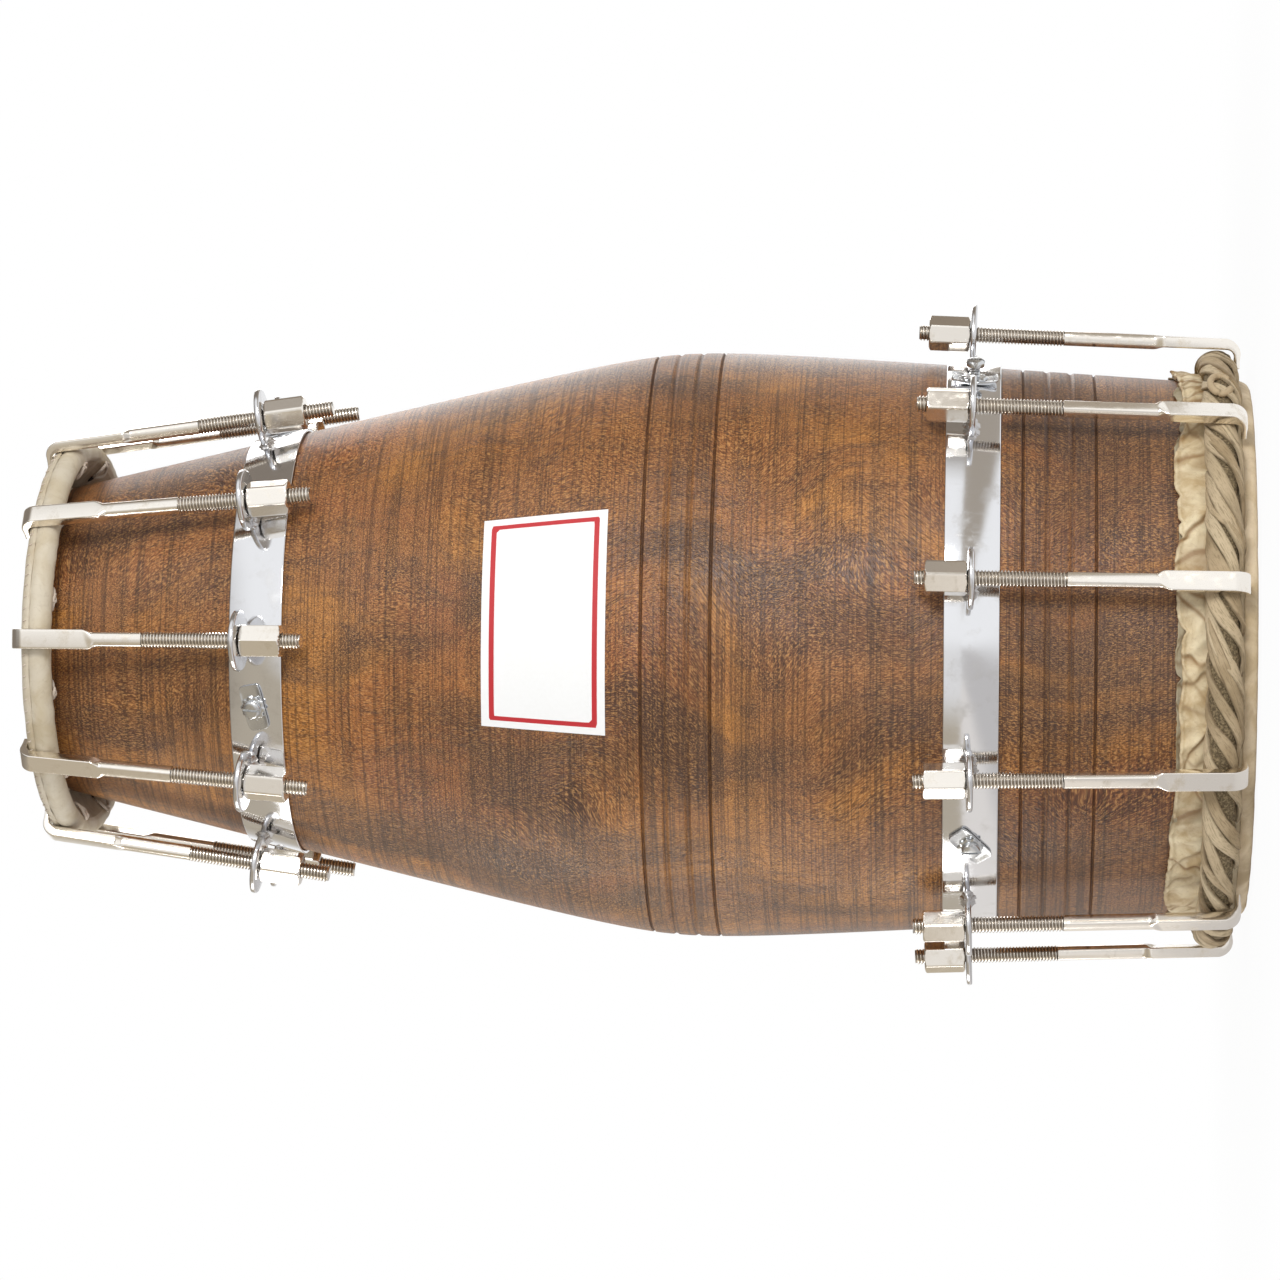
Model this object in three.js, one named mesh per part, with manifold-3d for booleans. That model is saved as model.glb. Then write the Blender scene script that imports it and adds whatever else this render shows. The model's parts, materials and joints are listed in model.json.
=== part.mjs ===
// A naal: a one-piece wooden barrel drum whose two heads are pulled tight by hooked
// rods. It stands on its bass head. Millimetres, axis on Z, bass face at z = 0.

import * as THREE from 'three';
import { mergeVertices } from 'three/addons/utils/BufferGeometryUtils.js';
import Module from 'manifold-3d';

const wasm = await Module();
wasm.setup();

// Clearances
const seatGap = 0.3;
const runningGap = 0.3;

// Shell: two tapers that meet in a rounded belly
const shellLength = 461.6;
const bassEdgeRadius = 103.7;
const trebleEdgeRadius = 59.9;
const tapersMeetRadius = 118.1;
const tapersMeetHeight = 220.3;
const bellyRounding = 8;
const shellWall = 11;
const deepGrooveDepth = 1.3;
const deepGrooveWidth = 2.6;
const fineGrooveDepth = 0.6;
const fineGrooveWidth = 1.5;
const bassGroovesStart = 56.8;
const bassGroovePitch = 9.2;
const bellyGroovesBelow = 19.4;
const bellyGroovePitch = 8.7;

// Skins
const skinThickness = 1.5;
const rimSkinThickness = 1.6;
const bassRimInset = 1.7;
const bassRimWidth = 18;
const trebleRimInset = 18.9;
const trebleRimReach = 2.7;
const skirtTop = 34;
const skirtFlare = 1.6;

// Head pastes
const treblePasteInset = 10;
const treblePasteThickness = 1.2;
const bassPasteRadius = 42;
const bassPasteThickness = 1.4;

// Hoops
const trebleHoopSpread = 13.8;
const trebleHoopDrop = 5.8;
const trebleHoopTilt = 4;
const trebleHoopRod = 2.9;
const bassHoopHeight = 13.2;
const bassHoopRod = 3;

// Strap braid on the bass hoop
const braidLow = 6.4;
const braidHigh = 20;
const braidStrap = 2.9;
const braidCrown = 1.5;
const braidSlot = 2;

// Belts
const beltWidth = 21;
const beltThickness = 1.5;
const trebleBeltDrop = 85.3;
const bassBeltHeight = 107;

// Welded eyes, hooks and nuts
const hookCount = 10;
const eyeRadius = 11.8;
const eyeThickness = 2.2;
const weldDepth = 0.9;
const trebleEyeRise = 5;
const bassEyeRise = 0.4;
const bassHooksTurn = -12;
const threadRadius = 3.175;
const threadLength = 64;
const rodEndChamfer = 0.8;
const shankRadius = 2.7;
const barWidth = 7.6;
const barThickness = 3.6;
const barEdge = 0.7;
const barLength = 25;
const forgedNeck = 5;
const trebleThreadOverrun = 12.5;
const bassThreadOverrun = 3.8;
const trebleBendRadius = 2.4;
const bassBendRadius = 3;
const lipReach = 11;
const lipTipThickness = 2.2;
const nutLength = 16;
const nutAcrossFlats = 12;
const nutSides = 6;

// Screws that hold the belts
const screwShankRadius = 2;
const screwDepth = 9;
const screwHeadRadius = 3.6;
const screwHeadHeight = 2.6;
const screwHeadRim = 1.3;
const screwSlotWidth = 0.9;
const screwSlotDepth = 1.2;
const starWasherRadius = 5;
const starWasherThickness = 0.9;
const plateLength = 18;
const plateWidth = 8.6;
const plateThickness = 1;
const proudScrewLift = 4.5;
const treblePlateTurns = [14, -20, 30];
const bassPlateTurns = [38, -12, 90];
const trebleScrewSpaces = [0, 3, 7];
const bassScrewSpaces = [1, 4, 8];

// Paper label
const labelThickness = 0.3;
const labelLowShare = 0.128;
const labelHighShare = 0.433;
const labelFromTurn = -27;
const labelToTurn = 18;

// Facets
const ringSides = 40;
const rodSides = 8;
const boreSides = 8;
const eyeSides = 12;
const hoopSides = 8;
const bendSteps = 3;
const labelSteps = 5;
const cutOverrun = 2;

const shellBottom = rimSkinThickness + seatGap + skinThickness + seatGap;
const shellTop = shellBottom + shellLength;
const tapersMeet = shellBottom + tapersMeetHeight;
const trebleBeltHeight = shellTop - trebleBeltDrop;
const trebleHoopHeight = shellTop - trebleHoopDrop;
const trebleHoopRadius = trebleEdgeRadius + trebleHoopSpread;
const degree = Math.PI / 180;
const eyeTurn = 360 / hookCount;

const finish = {
  wood: { color: 0x7a4a2c, roughness: 0.5, metalness: 0 },
  skin: { color: 0xd8ccac, roughness: 0.75, metalness: 0 },
  rawhide: { color: 0xa89a7c, roughness: 0.85, metalness: 0 },
  paste: { color: 0x16140f, roughness: 0.8, metalness: 0 },
  steel: { color: 0x8d8f90, roughness: 0.45, metalness: 1 },
  chrome: { color: 0xe6e7e8, roughness: 0.12, metalness: 1 },
  nickel: { color: 0xd9d6cf, roughness: 0.22, metalness: 1 },
  paper: { color: 0xf1eee6, roughness: 0.9, metalness: 0 },
};

const drum = new THREE.Group();

function piece(name, geometry, look, parent = drum) {
  const mesh = new THREE.Mesh(geometry, new THREE.MeshStandardMaterial(finish[look]));
  mesh.name = name;
  parent.add(mesh);
  return mesh;
}

function toSolid(geometry) {
  const bare = geometry.clone();
  bare.deleteAttribute('normal');
  bare.deleteAttribute('uv');
  const merged = mergeVertices(bare);
  return new wasm.Manifold(new wasm.Mesh({
    numProp: 3,
    vertProperties: new Float32Array(merged.attributes.position.array),
    triVerts: new Uint32Array(merged.index.array),
  }));
}

function toGeometry(solid) {
  const { vertProperties, triVerts } = solid.getMesh();
  const geometry = new THREE.BufferGeometry();
  geometry.setAttribute('position', new THREE.BufferAttribute(vertProperties, 3));
  geometry.setIndex(new THREE.BufferAttribute(triVerts, 1));
  geometry.computeVertexNormals();
  return geometry;
}

// A closed outline of [radius, height] points turned about Z, with flat facets.
function turned(outline, sides = ringSides) {
  const area = outline.reduce((sum, [r, z], i) => {
    const [nextR, nextZ] = outline[(i + 1) % outline.length];
    return sum + r * nextZ - nextR * z;
  }, 0);
  const points = (area > 0 ? outline : [...outline].reverse()).map(([r, z]) => new THREE.Vector2(r, z));
  const onAxis = points.filter((point) => point.x === 0).length;
  if (onAxis === 0) {
    points.push(points[0].clone());
  } else {
    while (points[0].x !== 0 || points.at(-1).x !== 0) points.push(points.shift());
  }
  return new THREE.LatheGeometry(points, sides).rotateX(Math.PI / 2);
}

function circlePoints(radius, sides, start = 0) {
  return Array.from({ length: sides }, (_, i) => {
    const angle = start + (2 * Math.PI * i) / sides;
    return new THREE.Vector2(radius * Math.cos(angle), radius * Math.sin(angle));
  });
}

// A body through a row of loops that have the same number of points.
function lofted(loops) {
  const count = loops[0].length;
  const positions = loops.flat().flatMap((point) => point.toArray());
  const index = [];
  for (let ring = 0; ring < loops.length - 1; ring += 1) {
    for (let i = 0; i < count; i += 1) {
      const a = ring * count + i;
      const b = ring * count + ((i + 1) % count);
      index.push(a, b, b + count, a, b + count, a + count);
    }
  }
  const last = (loops.length - 1) * count;
  for (let i = 1; i < count - 1; i += 1) {
    index.push(0, i + 1, i);
    index.push(last, last + i, last + i + 1);
  }
  const geometry = new THREE.BufferGeometry();
  geometry.setAttribute('position', new THREE.Float32BufferAttribute(positions, 3));
  geometry.setIndex(index);
  geometry.computeVertexNormals();
  return geometry;
}

function shellRadius(height) {
  const bassTaper = bassEdgeRadius
    + ((tapersMeetRadius - bassEdgeRadius) * (height - shellBottom)) / tapersMeetHeight;
  const trebleTaper = trebleEdgeRadius
    + ((tapersMeetRadius - trebleEdgeRadius) * (shellTop - height)) / (shellTop - tapersMeet);
  return (bassTaper + trebleTaper - Math.hypot(bassTaper - trebleTaper, bellyRounding)) / 2;
}

function shellSlope(height) {
  return Math.atan2(
    shellRadius(height + beltWidth / 2) - shellRadius(height - beltWidth / 2),
    beltWidth,
  );
}

// Each head pulls on its own belt: the eyes sit on the belt and the rods lean in
// until their bars lie on the hoop. The treble hoop is tipped, high at the front.
const treble = {
  name: 'treble',
  up: 1,
  beltHeight: trebleBeltHeight,
  eyeHeight: trebleBeltHeight + trebleEyeRise,
  firstTurn: 0,
  hoopRadius: trebleHoopRadius,
  hoopHeight: trebleHoopHeight,
  hoopTilt: trebleHoopTilt * degree,
  hoopReach: trebleHoopRod + seatGap + skinThickness,
  lipSeat: trebleHoopHeight + trebleHoopRod + seatGap + skinThickness
    + seatGap + rimSkinThickness,
  bendRadius: trebleBendRadius,
  threadOverrun: trebleThreadOverrun,
  screwSpaces: trebleScrewSpaces,
};

const bassSkinOuterRadius = bassEdgeRadius + seatGap + skinThickness;
const bassHoopRadius = shellRadius(braidHigh) + seatGap + skinThickness + braidSlot + bassHoopRod;
const braidOuterRadius = bassHoopRadius + bassHoopRod + braidStrap;

const bass = {
  name: 'bass',
  up: -1,
  beltHeight: bassBeltHeight,
  eyeHeight: bassBeltHeight + bassEyeRise,
  firstTurn: bassHooksTurn,
  hoopRadius: bassHoopRadius,
  hoopHeight: bassHoopHeight,
  hoopTilt: 0,
  hoopReach: braidOuterRadius - bassHoopRadius,
  lipSeat: braidLow,
  bendRadius: bassBendRadius,
  threadOverrun: bassThreadOverrun,
  screwSpaces: bassScrewSpaces,
};

function eyeDistance(head) {
  return shellRadius(head.eyeHeight) + seatGap + beltThickness + eyeRadius - weldDepth;
}

function stationTurn(head, index) {
  return (head.firstTurn + eyeTurn * index) * degree;
}

// How much a tipped hoop stands above its mean height at one hook.
function hoopRise(head, index) {
  return head.hoopRadius * Math.tan(head.hoopTilt) * Math.cos(stationTurn(head, index));
}

// The slope of a tipped hoop's face, outwards from the axis, at one hook.
function hoopSlope(head, index) {
  return Math.atan(Math.tan(head.hoopTilt) * Math.cos(stationTurn(head, index)));
}

// The lean at which a line through the eye passes the hoop at the bar's distance.
function rodLean(head, rise) {
  const across = eyeDistance(head) - head.hoopRadius;
  const along = -Math.abs(head.eyeHeight - head.hoopHeight) - rise;
  const distance = head.hoopReach + seatGap + barThickness / 2;
  return Math.acos(distance / Math.hypot(across, along)) + Math.atan2(along, across);
}

// The place of one hook: X points out from the drum, Z runs along the rod to the head.
function stationGroup(head, index) {
  const turn = new THREE.Group();
  turn.rotation.z = -Math.PI / 2 - stationTurn(head, index);
  const station = new THREE.Group();
  station.position.set(eyeDistance(head), 0, head.eyeHeight);
  const lean = rodLean(head, hoopRise(head, index));
  station.rotation.set(0, head.up > 0 ? -lean : Math.PI + lean, head.up > 0 ? 0 : Math.PI);
  turn.add(station);
  turn.updateMatrixWorld(true);
  return { turn, station };
}

// The wooden shell
function groovePoints(centre, width, depth) {
  const half = width / 2;
  return [
    [shellRadius(centre - half), centre - half],
    [shellRadius(centre) - depth, centre],
    [shellRadius(centre + half), centre + half],
  ];
}

function grooveGroup(start, pitch) {
  return [0, 1, 2, 3].flatMap((i) => {
    const deep = i === 0 || i === 3;
    return groovePoints(
      start + i * pitch,
      deep ? deepGrooveWidth : fineGrooveWidth,
      deep ? deepGrooveDepth : fineGrooveDepth,
    );
  });
}

const bassTaperShares = [0.629, 0.796];
const trebleTaperShares = [0.082, 0.158, 0.254, 0.445, 0.732, 1];
const boreBassShare = 0.88;
const boreTrebleShare = 0.082;

function bassTaperHeight(share) {
  return shellBottom + share * tapersMeetHeight;
}

function trebleTaperHeight(share) {
  return tapersMeet + share * (shellTop - tapersMeet);
}

function onShell(height, inset = 0) {
  return [shellRadius(height) - inset, height];
}

function shellOutline() {
  return [
    onShell(shellBottom),
    ...grooveGroup(shellBottom + bassGroovesStart, bassGroovePitch),
    ...bassTaperShares.map((share) => onShell(bassTaperHeight(share))),
    ...grooveGroup(tapersMeet - bellyGroovesBelow, bellyGroovePitch),
    ...trebleTaperShares.map((share) => onShell(trebleTaperHeight(share))),
    onShell(shellTop, shellWall),
    onShell(trebleTaperHeight(boreTrebleShare), shellWall),
    onShell(bassTaperHeight(boreBassShare), shellWall),
    onShell(shellBottom, shellWall),
  ];
}

// The screws stand square to the shell, midway between two eyes.
function screwGroup(head, spaces) {
  const turn = new THREE.Group();
  turn.rotation.z = -Math.PI / 2 - stationTurn(head, spaces + 1 / 2);
  const seat = new THREE.Group();
  const slope = shellSlope(head.beltHeight);
  seat.position.set(shellRadius(head.beltHeight), 0, head.beltHeight);
  seat.rotation.y = Math.PI / 2 + slope;
  turn.add(seat);
  turn.updateMatrixWorld(true);
  return { turn, seat };
}

function screwHole(head, spaces) {
  const radius = (screwShankRadius + runningGap) / Math.cos(Math.PI / rodSides);
  const bottom = beltThickness + seatGap - screwDepth - runningGap;
  const top = beltThickness + seatGap + cutOverrun;
  const hole = new THREE.CylinderGeometry(radius, radius, top - bottom, rodSides)
    .rotateX(Math.PI / 2)
    .translate(0, 0, (top + bottom) / 2);
  return toSolid(hole.applyMatrix4(screwGroup(head, spaces).seat.matrixWorld));
}

const screwHoles = [treble, bass].flatMap(
  (head) => head.screwSpaces.map((spaces) => screwHole(head, spaces)),
);

function withoutScrewHoles(solid) {
  return screwHoles.reduce((rest, hole) => rest.subtract(hole), solid);
}

piece('shell', toGeometry(withoutScrewHoles(toSolid(turned(shellOutline())))), 'wood');

// Belts with their welded eyes
function beltOutline(head) {
  const low = head.beltHeight - beltWidth / 2;
  const high = head.beltHeight + beltWidth / 2;
  const inner = seatGap;
  const outer = seatGap + beltThickness;
  return [
    [shellRadius(low) + inner, low],
    [shellRadius(low) + outer, low],
    [shellRadius(high) + outer, high],
    [shellRadius(high) + inner, high],
  ];
}

function eyeGeometry() {
  const boreRadius = (threadRadius + runningGap) / Math.cos(Math.PI / boreSides);
  const outline = new THREE.Shape(circlePoints(eyeRadius, eyeSides));
  outline.holes.push(new THREE.Path(circlePoints(boreRadius, boreSides)));
  return new THREE.ExtrudeGeometry(outline, { depth: eyeThickness, bevelEnabled: false })
    .translate(0, 0, -eyeThickness / 2);
}

function beltGeometry(head) {
  let belt = toSolid(turned(beltOutline(head)));
  for (let i = 0; i < hookCount; i += 1) {
    const eye = eyeGeometry().applyMatrix4(stationGroup(head, i).station.matrixWorld);
    belt = belt.add(toSolid(eye));
  }
  return toGeometry(withoutScrewHoles(belt));
}

piece('belt_treble', beltGeometry(treble), 'chrome');
piece('belt_bass', beltGeometry(bass), 'chrome');

// Hooks: a threaded rod whose end is forged flat and bent over the hoop
function roundLoop(height, radius) {
  const start = Math.PI / rodSides;
  return circlePoints(radius, rodSides, start).map((point) => new THREE.Vector3(point.x, point.y, height));
}

// A bar section with cut edges; its inner face lies on the given point.
function barLoop(x, z, angle, thickness, width) {
  const half = width / 2;
  const across = [
    [thickness, half - barEdge], [thickness - barEdge, half], [barEdge, half], [0, half - barEdge],
    [0, barEdge - half], [barEdge, -half], [thickness - barEdge, -half], [thickness, barEdge - half],
  ];
  return across.map(([out, side]) => new THREE.Vector3(
    x + out * Math.cos(angle),
    side,
    z + out * Math.sin(angle),
  ));
}

// How far up the rod the bend's centre lies when the lip rests on the hoop's face.
function bendCentre(head, rise, slope) {
  const level = Math.abs(head.lipSeat - head.eyeHeight) + rise;
  const across = eyeDistance(head) - head.hoopRadius;
  const lipRise = level * Math.cos(slope) + across * Math.sin(slope) + seatGap;
  const leanToFace = rodLean(head, rise) - slope;
  const side = (head.bendRadius + barThickness / 2) * Math.sin(leanToFace);
  return (lipRise - head.bendRadius + side) / Math.cos(leanToFace);
}

// All the hooks of a head are alike in length, so a tipped hoop shows in their ends.
function hookGeometry(head, index) {
  const rise = hoopRise(head, index);
  const slope = hoopSlope(head, index);
  const bend = Math.PI / 2 - (rodLean(head, rise) - slope);
  const radius = head.bendRadius;
  const inner = -barThickness / 2;
  const bendHeight = bendCentre(head, rise, slope);
  const overrun = head.threadOverrun + bendCentre(head, 0, 0) - bendHeight;
  const rodEnd = -(eyeThickness / 2 + seatGap + nutLength + overrun);
  const threadEnd = rodEnd + threadLength;
  const barStart = bendHeight - barLength;
  const loops = [
    roundLoop(rodEnd, threadRadius - rodEndChamfer),
    roundLoop(rodEnd + rodEndChamfer, threadRadius),
    roundLoop(threadEnd, threadRadius),
    roundLoop(threadEnd, shankRadius),
    roundLoop(barStart - forgedNeck, shankRadius),
    barLoop(inner, barStart, 0, barThickness, barWidth),
  ];
  for (let i = 0; i <= bendSteps; i += 1) {
    const angle = (bend * i) / bendSteps;
    const thickness = THREE.MathUtils.lerp(barThickness, lipTipThickness, i / (bendSteps + 1));
    loops.push(barLoop(
      inner - radius + radius * Math.cos(angle),
      bendHeight + radius * Math.sin(angle),
      angle,
      thickness,
      barWidth,
    ));
  }
  const lipLength = lipReach - barThickness - radius;
  loops.push(barLoop(
    inner - radius + radius * Math.cos(bend) - lipLength * Math.sin(bend),
    bendHeight + radius * Math.sin(bend) + lipLength * Math.cos(bend),
    bend,
    lipTipThickness,
    barWidth,
  ));
  return lofted(loops);
}

function nutGeometry() {
  const boreRadius = (threadRadius + runningGap) / Math.cos(Math.PI / boreSides);
  const cornerRadius = nutAcrossFlats / 2 / Math.cos(Math.PI / nutSides);
  const outline = new THREE.Shape(circlePoints(cornerRadius, nutSides));
  outline.holes.push(new THREE.Path(circlePoints(boreRadius, boreSides)));
  return new THREE.ExtrudeGeometry(outline, { depth: nutLength, bevelEnabled: false })
    .translate(0, 0, -nutLength - eyeThickness / 2 - seatGap);
}

function addHooks(head) {
  const nut = nutGeometry();
  for (let i = 0; i < hookCount; i += 1) {
    const number = String(i + 1).padStart(2, '0');
    const { turn, station } = stationGroup(head, i);
    piece(`hook_${head.name}_${number}`, hookGeometry(head, i), 'nickel', station);
    piece(`nut_${head.name}_${number}`, nut, 'nickel', station);
    drum.add(turn);
  }
}

addHooks(treble);
addHooks(bass);

// Belt screws, each with its star washer and oblong plate
function screwGeometry(lift, plateTurn) {
  const seat = seatGap + beltThickness + seatGap;
  const plateTop = seat + plateThickness;
  const washerTop = plateTop + starWasherThickness;
  const headLow = washerTop + lift;
  const headTop = headLow + screwHeadHeight;
  const proudShank = [[screwShankRadius, washerTop], [screwShankRadius, headLow]];
  const screw = toSolid(turned([
    [0, seatGap + beltThickness - screwDepth],
    [screwShankRadius, seatGap + beltThickness - screwDepth],
    [screwShankRadius, plateTop],
    [starWasherRadius, plateTop],
    [starWasherRadius, washerTop],
    ...(lift > 0 ? proudShank : []),
    [screwHeadRadius, headLow],
    [screwHeadRadius, headLow + screwHeadRim],
    [screwHeadRadius - screwHeadRim, headTop],
    [0, headTop],
  ], boreSides));
  const end = plateWidth / 2;
  const straight = plateLength / 2 - end;
  const outline = new THREE.Shape();
  outline.absarc(0, straight, end, 0, Math.PI);
  outline.absarc(0, -straight, end, Math.PI, 2 * Math.PI);
  const plate = new THREE.ExtrudeGeometry(outline, {
    depth: plateThickness + seatGap,
    bevelEnabled: false,
    curveSegments: 3,
  }).rotateZ(plateTurn * degree).translate(0, 0, seat);
  const slot = new THREE.BoxGeometry(2 * starWasherRadius, screwSlotWidth, 2 * screwSlotDepth)
    .translate(0, 0, headTop);
  return toGeometry(screw.add(toSolid(plate)).subtract(toSolid(slot)));
}

function addScrews(head, lifts, plateTurns) {
  head.screwSpaces.forEach((spaces, i) => {
    const { turn, seat } = screwGroup(head, spaces);
    const screw = screwGeometry(lifts[i], plateTurns[i]);
    piece(`belt_screw_${head.name}_${i + 1}`, screw, 'steel', seat);
    drum.add(turn);
  });
}

addScrews(treble, [0, 0, 0], treblePlateTurns);
addScrews(bass, [0, 0, proudScrewLift], bassPlateTurns);

// Treble head: the skin runs over the shell's edge and wraps a steel hoop
function hoopPoint(radius, step) {
  const angle = Math.PI / hoopSides + (2 * Math.PI * step) / hoopSides;
  return [trebleHoopRadius + radius * Math.cos(angle), trebleHoopHeight + radius * Math.sin(angle)];
}

function trebleSkinOutline() {
  const wrapInner = trebleHoopRod + runningGap / Math.cos(Math.PI / hoopSides);
  const wrapOuter = treble.hoopReach;
  const faceLow = shellTop + seatGap;
  const faceHigh = faceLow + skinThickness;
  const edge = trebleEdgeRadius + skinThickness / 2;
  const outward = [-3, -2, -1, 0, 1, 2, 3].map((step) => hoopPoint(wrapOuter, step));
  const inward = [3, 2, 1, 0, -1, -2, -3, -4].map((step) => hoopPoint(wrapInner, step));
  return [
    [0, faceLow],
    [edge, faceLow],
    ...outward,
    ...inward,
    [edge + skinThickness / 2, faceHigh],
    [0, faceHigh],
  ];
}

const trebleRimInnerRadius = trebleEdgeRadius - trebleRimInset;
const trebleRimOuterRadius = trebleHoopRadius + trebleRimReach;

function trebleRimOutline() {
  const faceLow = shellTop + seatGap + skinThickness + seatGap;
  const stripLow = treble.lipSeat - rimSkinThickness;
  const bendIn = trebleHoopRadius - trebleHoopRod;
  return [
    [trebleRimInnerRadius, faceLow],
    [trebleEdgeRadius + skinThickness, faceLow],
    [bendIn, stripLow],
    [trebleRimOuterRadius, stripLow],
    [trebleRimOuterRadius, treble.lipSeat],
    [bendIn, treble.lipSeat],
    [trebleEdgeRadius, faceLow + rimSkinThickness],
    [trebleRimInnerRadius, faceLow + rimSkinThickness],
  ];
}

// What lies outside the shell's mouth follows the tipped hoop.
function tipped(geometry) {
  const position = geometry.attributes.position;
  const mouth = (trebleEdgeRadius + trebleHoopRadius) / 2;
  for (let i = 0; i < position.count; i += 1) {
    const y = position.getY(i);
    if (Math.hypot(position.getX(i), y) > mouth) {
      position.setZ(i, position.getZ(i) - y * Math.tan(treble.hoopTilt));
    }
  }
  geometry.computeVertexNormals();
  return geometry;
}

const trebleHoop = Array.from({ length: hoopSides }, (_, i) => hoopPoint(trebleHoopRod, i));
piece('hoop_treble', tipped(turned(trebleHoop)), 'steel');
piece('skin_treble', tipped(turned(trebleSkinOutline())), 'skin');
piece('rim_skin_treble', tipped(turned(trebleRimOutline())), 'skin');

function pasteOutline(low, radius, thickness) {
  return [[0, low], [radius, low], [radius - thickness, low + thickness], [0, low + thickness]];
}

const treblePasteLow = shellTop + seatGap + skinThickness + seatGap;
const treblePasteRadius = trebleRimInnerRadius - treblePasteInset;
piece(
  'tuning_paste_treble',
  turned(pasteOutline(treblePasteLow, treblePasteRadius, treblePasteThickness)),
  'paste',
);

// Bass head: the skin runs up the shell inside a hoop that is bound with a strap braid
function bassSkinOutline() {
  const faceLow = rimSkinThickness + seatGap;
  const faceHigh = faceLow + skinThickness;
  const wall = (height) => shellRadius(height) + seatGap;
  return [
    [0, faceLow],
    [bassEdgeRadius, faceLow],
    [bassSkinOuterRadius, faceHigh],
    [wall(braidHigh) + skinThickness, braidHigh],
    [wall(skirtTop) + skinThickness + skirtFlare, skirtTop],
    [wall(skirtTop) + skirtFlare, skirtTop],
    [wall(braidHigh), braidHigh],
    [wall(faceHigh), faceHigh],
    [0, faceHigh],
  ];
}

const bassHoop = circlePoints(bassHoopRod, hoopSides, Math.PI / hoopSides)
  .map((point) => [bassHoopRadius + point.x, bassHoopHeight + point.y]);

// The braid wraps the hoop on three sides; the skin closes the fourth.
function braidOutline() {
  const innerWall = bassHoopRadius - bassHoopRod;
  const slotHalf = bassHoopRod + runningGap;
  return [
    [innerWall, bassHoopHeight - slotHalf],
    [innerWall, braidLow],
    [braidOuterRadius - braidCrown, braidLow],
    [braidOuterRadius, bassHoopHeight],
    [braidOuterRadius - braidCrown, braidHigh - braidCrown],
    [bassHoopRadius + bassHoopRod, braidHigh],
    [innerWall, braidHigh],
    [innerWall, bassHoopHeight + slotHalf],
    [bassHoopRadius + slotHalf, bassHoopHeight + slotHalf],
    [bassHoopRadius + slotHalf, bassHoopHeight - slotHalf],
  ];
}

const bassRimOuterRadius = bassEdgeRadius - bassRimInset;
const bassRimInnerRadius = bassRimOuterRadius - bassRimWidth;
const bassRim = [
  [bassRimInnerRadius, 0],
  [bassRimOuterRadius, 0],
  [bassRimOuterRadius, rimSkinThickness],
  [bassRimInnerRadius, rimSkinThickness],
];

piece('hoop_bass', turned(bassHoop), 'steel');
piece('skin_bass', turned(bassSkinOutline()), 'skin');
piece('rim_skin_bass', turned(bassRim), 'skin');
piece('braid_bass', turned(braidOutline()), 'rawhide');
piece(
  'inner_paste_bass',
  turned(pasteOutline(shellBottom, bassPasteRadius, bassPasteThickness)),
  'paste',
);

// A paper label, placed between the belly and the treble belt
const labelLow = tapersMeet + labelLowShare * (trebleBeltHeight - tapersMeet);
const labelHigh = tapersMeet + labelHighShare * (trebleBeltHeight - tapersMeet);

function labelLoop(step) {
  const turn = labelFromTurn + ((labelToTurn - labelFromTurn) * step) / labelSteps;
  const angle = -Math.PI / 2 - turn * degree;
  const heights = [labelLow, (labelLow + labelHigh) / 2, labelHigh];
  const under = heights.map((z) => [shellRadius(z) + seatGap, z]);
  const over = heights.map((z) => [shellRadius(z) + seatGap + labelThickness, z]).reverse();
  return [...under, ...over].reverse().map(([r, z]) => new THREE.Vector3(
    r * Math.cos(angle),
    r * Math.sin(angle),
    z,
  ));
}

piece('label', lofted(Array.from({ length: labelSteps + 1 }, (_, i) => labelLoop(i))), 'paper');

export default drum;
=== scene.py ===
# %% [markdown]
# # A naal barrel drum
# The drum is turned from one block of hardwood and stands on its bass head. Twenty hooked rods pull on two
# chromed belts and hold both skins tight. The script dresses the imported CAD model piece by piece: it
# measures the model first, works each surface out as arrays, and then finishes it with materials made of
# nodes.

# %% The frame
import json

import bmesh
import bpy
import numpy as np
from mathutils import Matrix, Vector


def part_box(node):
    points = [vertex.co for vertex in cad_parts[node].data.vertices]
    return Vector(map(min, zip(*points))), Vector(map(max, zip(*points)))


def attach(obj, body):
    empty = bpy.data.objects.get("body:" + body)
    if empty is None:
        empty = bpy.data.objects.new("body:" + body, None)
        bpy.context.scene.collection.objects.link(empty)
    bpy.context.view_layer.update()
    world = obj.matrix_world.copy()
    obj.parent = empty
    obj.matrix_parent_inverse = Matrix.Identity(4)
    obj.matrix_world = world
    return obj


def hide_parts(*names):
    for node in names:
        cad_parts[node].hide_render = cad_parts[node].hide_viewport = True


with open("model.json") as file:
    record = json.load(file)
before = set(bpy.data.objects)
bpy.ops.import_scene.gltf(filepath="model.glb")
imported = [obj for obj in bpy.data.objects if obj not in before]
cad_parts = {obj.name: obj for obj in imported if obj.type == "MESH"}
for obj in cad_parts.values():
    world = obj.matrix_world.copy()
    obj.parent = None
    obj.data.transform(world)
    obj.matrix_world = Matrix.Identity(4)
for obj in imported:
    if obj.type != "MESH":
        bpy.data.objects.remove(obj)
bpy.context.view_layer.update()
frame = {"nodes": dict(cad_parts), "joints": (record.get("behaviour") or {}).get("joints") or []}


# %% [markdown]
# ## Measures
# Everything is in metres, and one millimetre is the unit that a drum maker would speak in. The places of
# the twenty rods come from the joints of the frame, and the shell's height from its box. What the frame
# doesn't say, such as a thread's depth, is a named value beside the piece that needs it.

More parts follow.
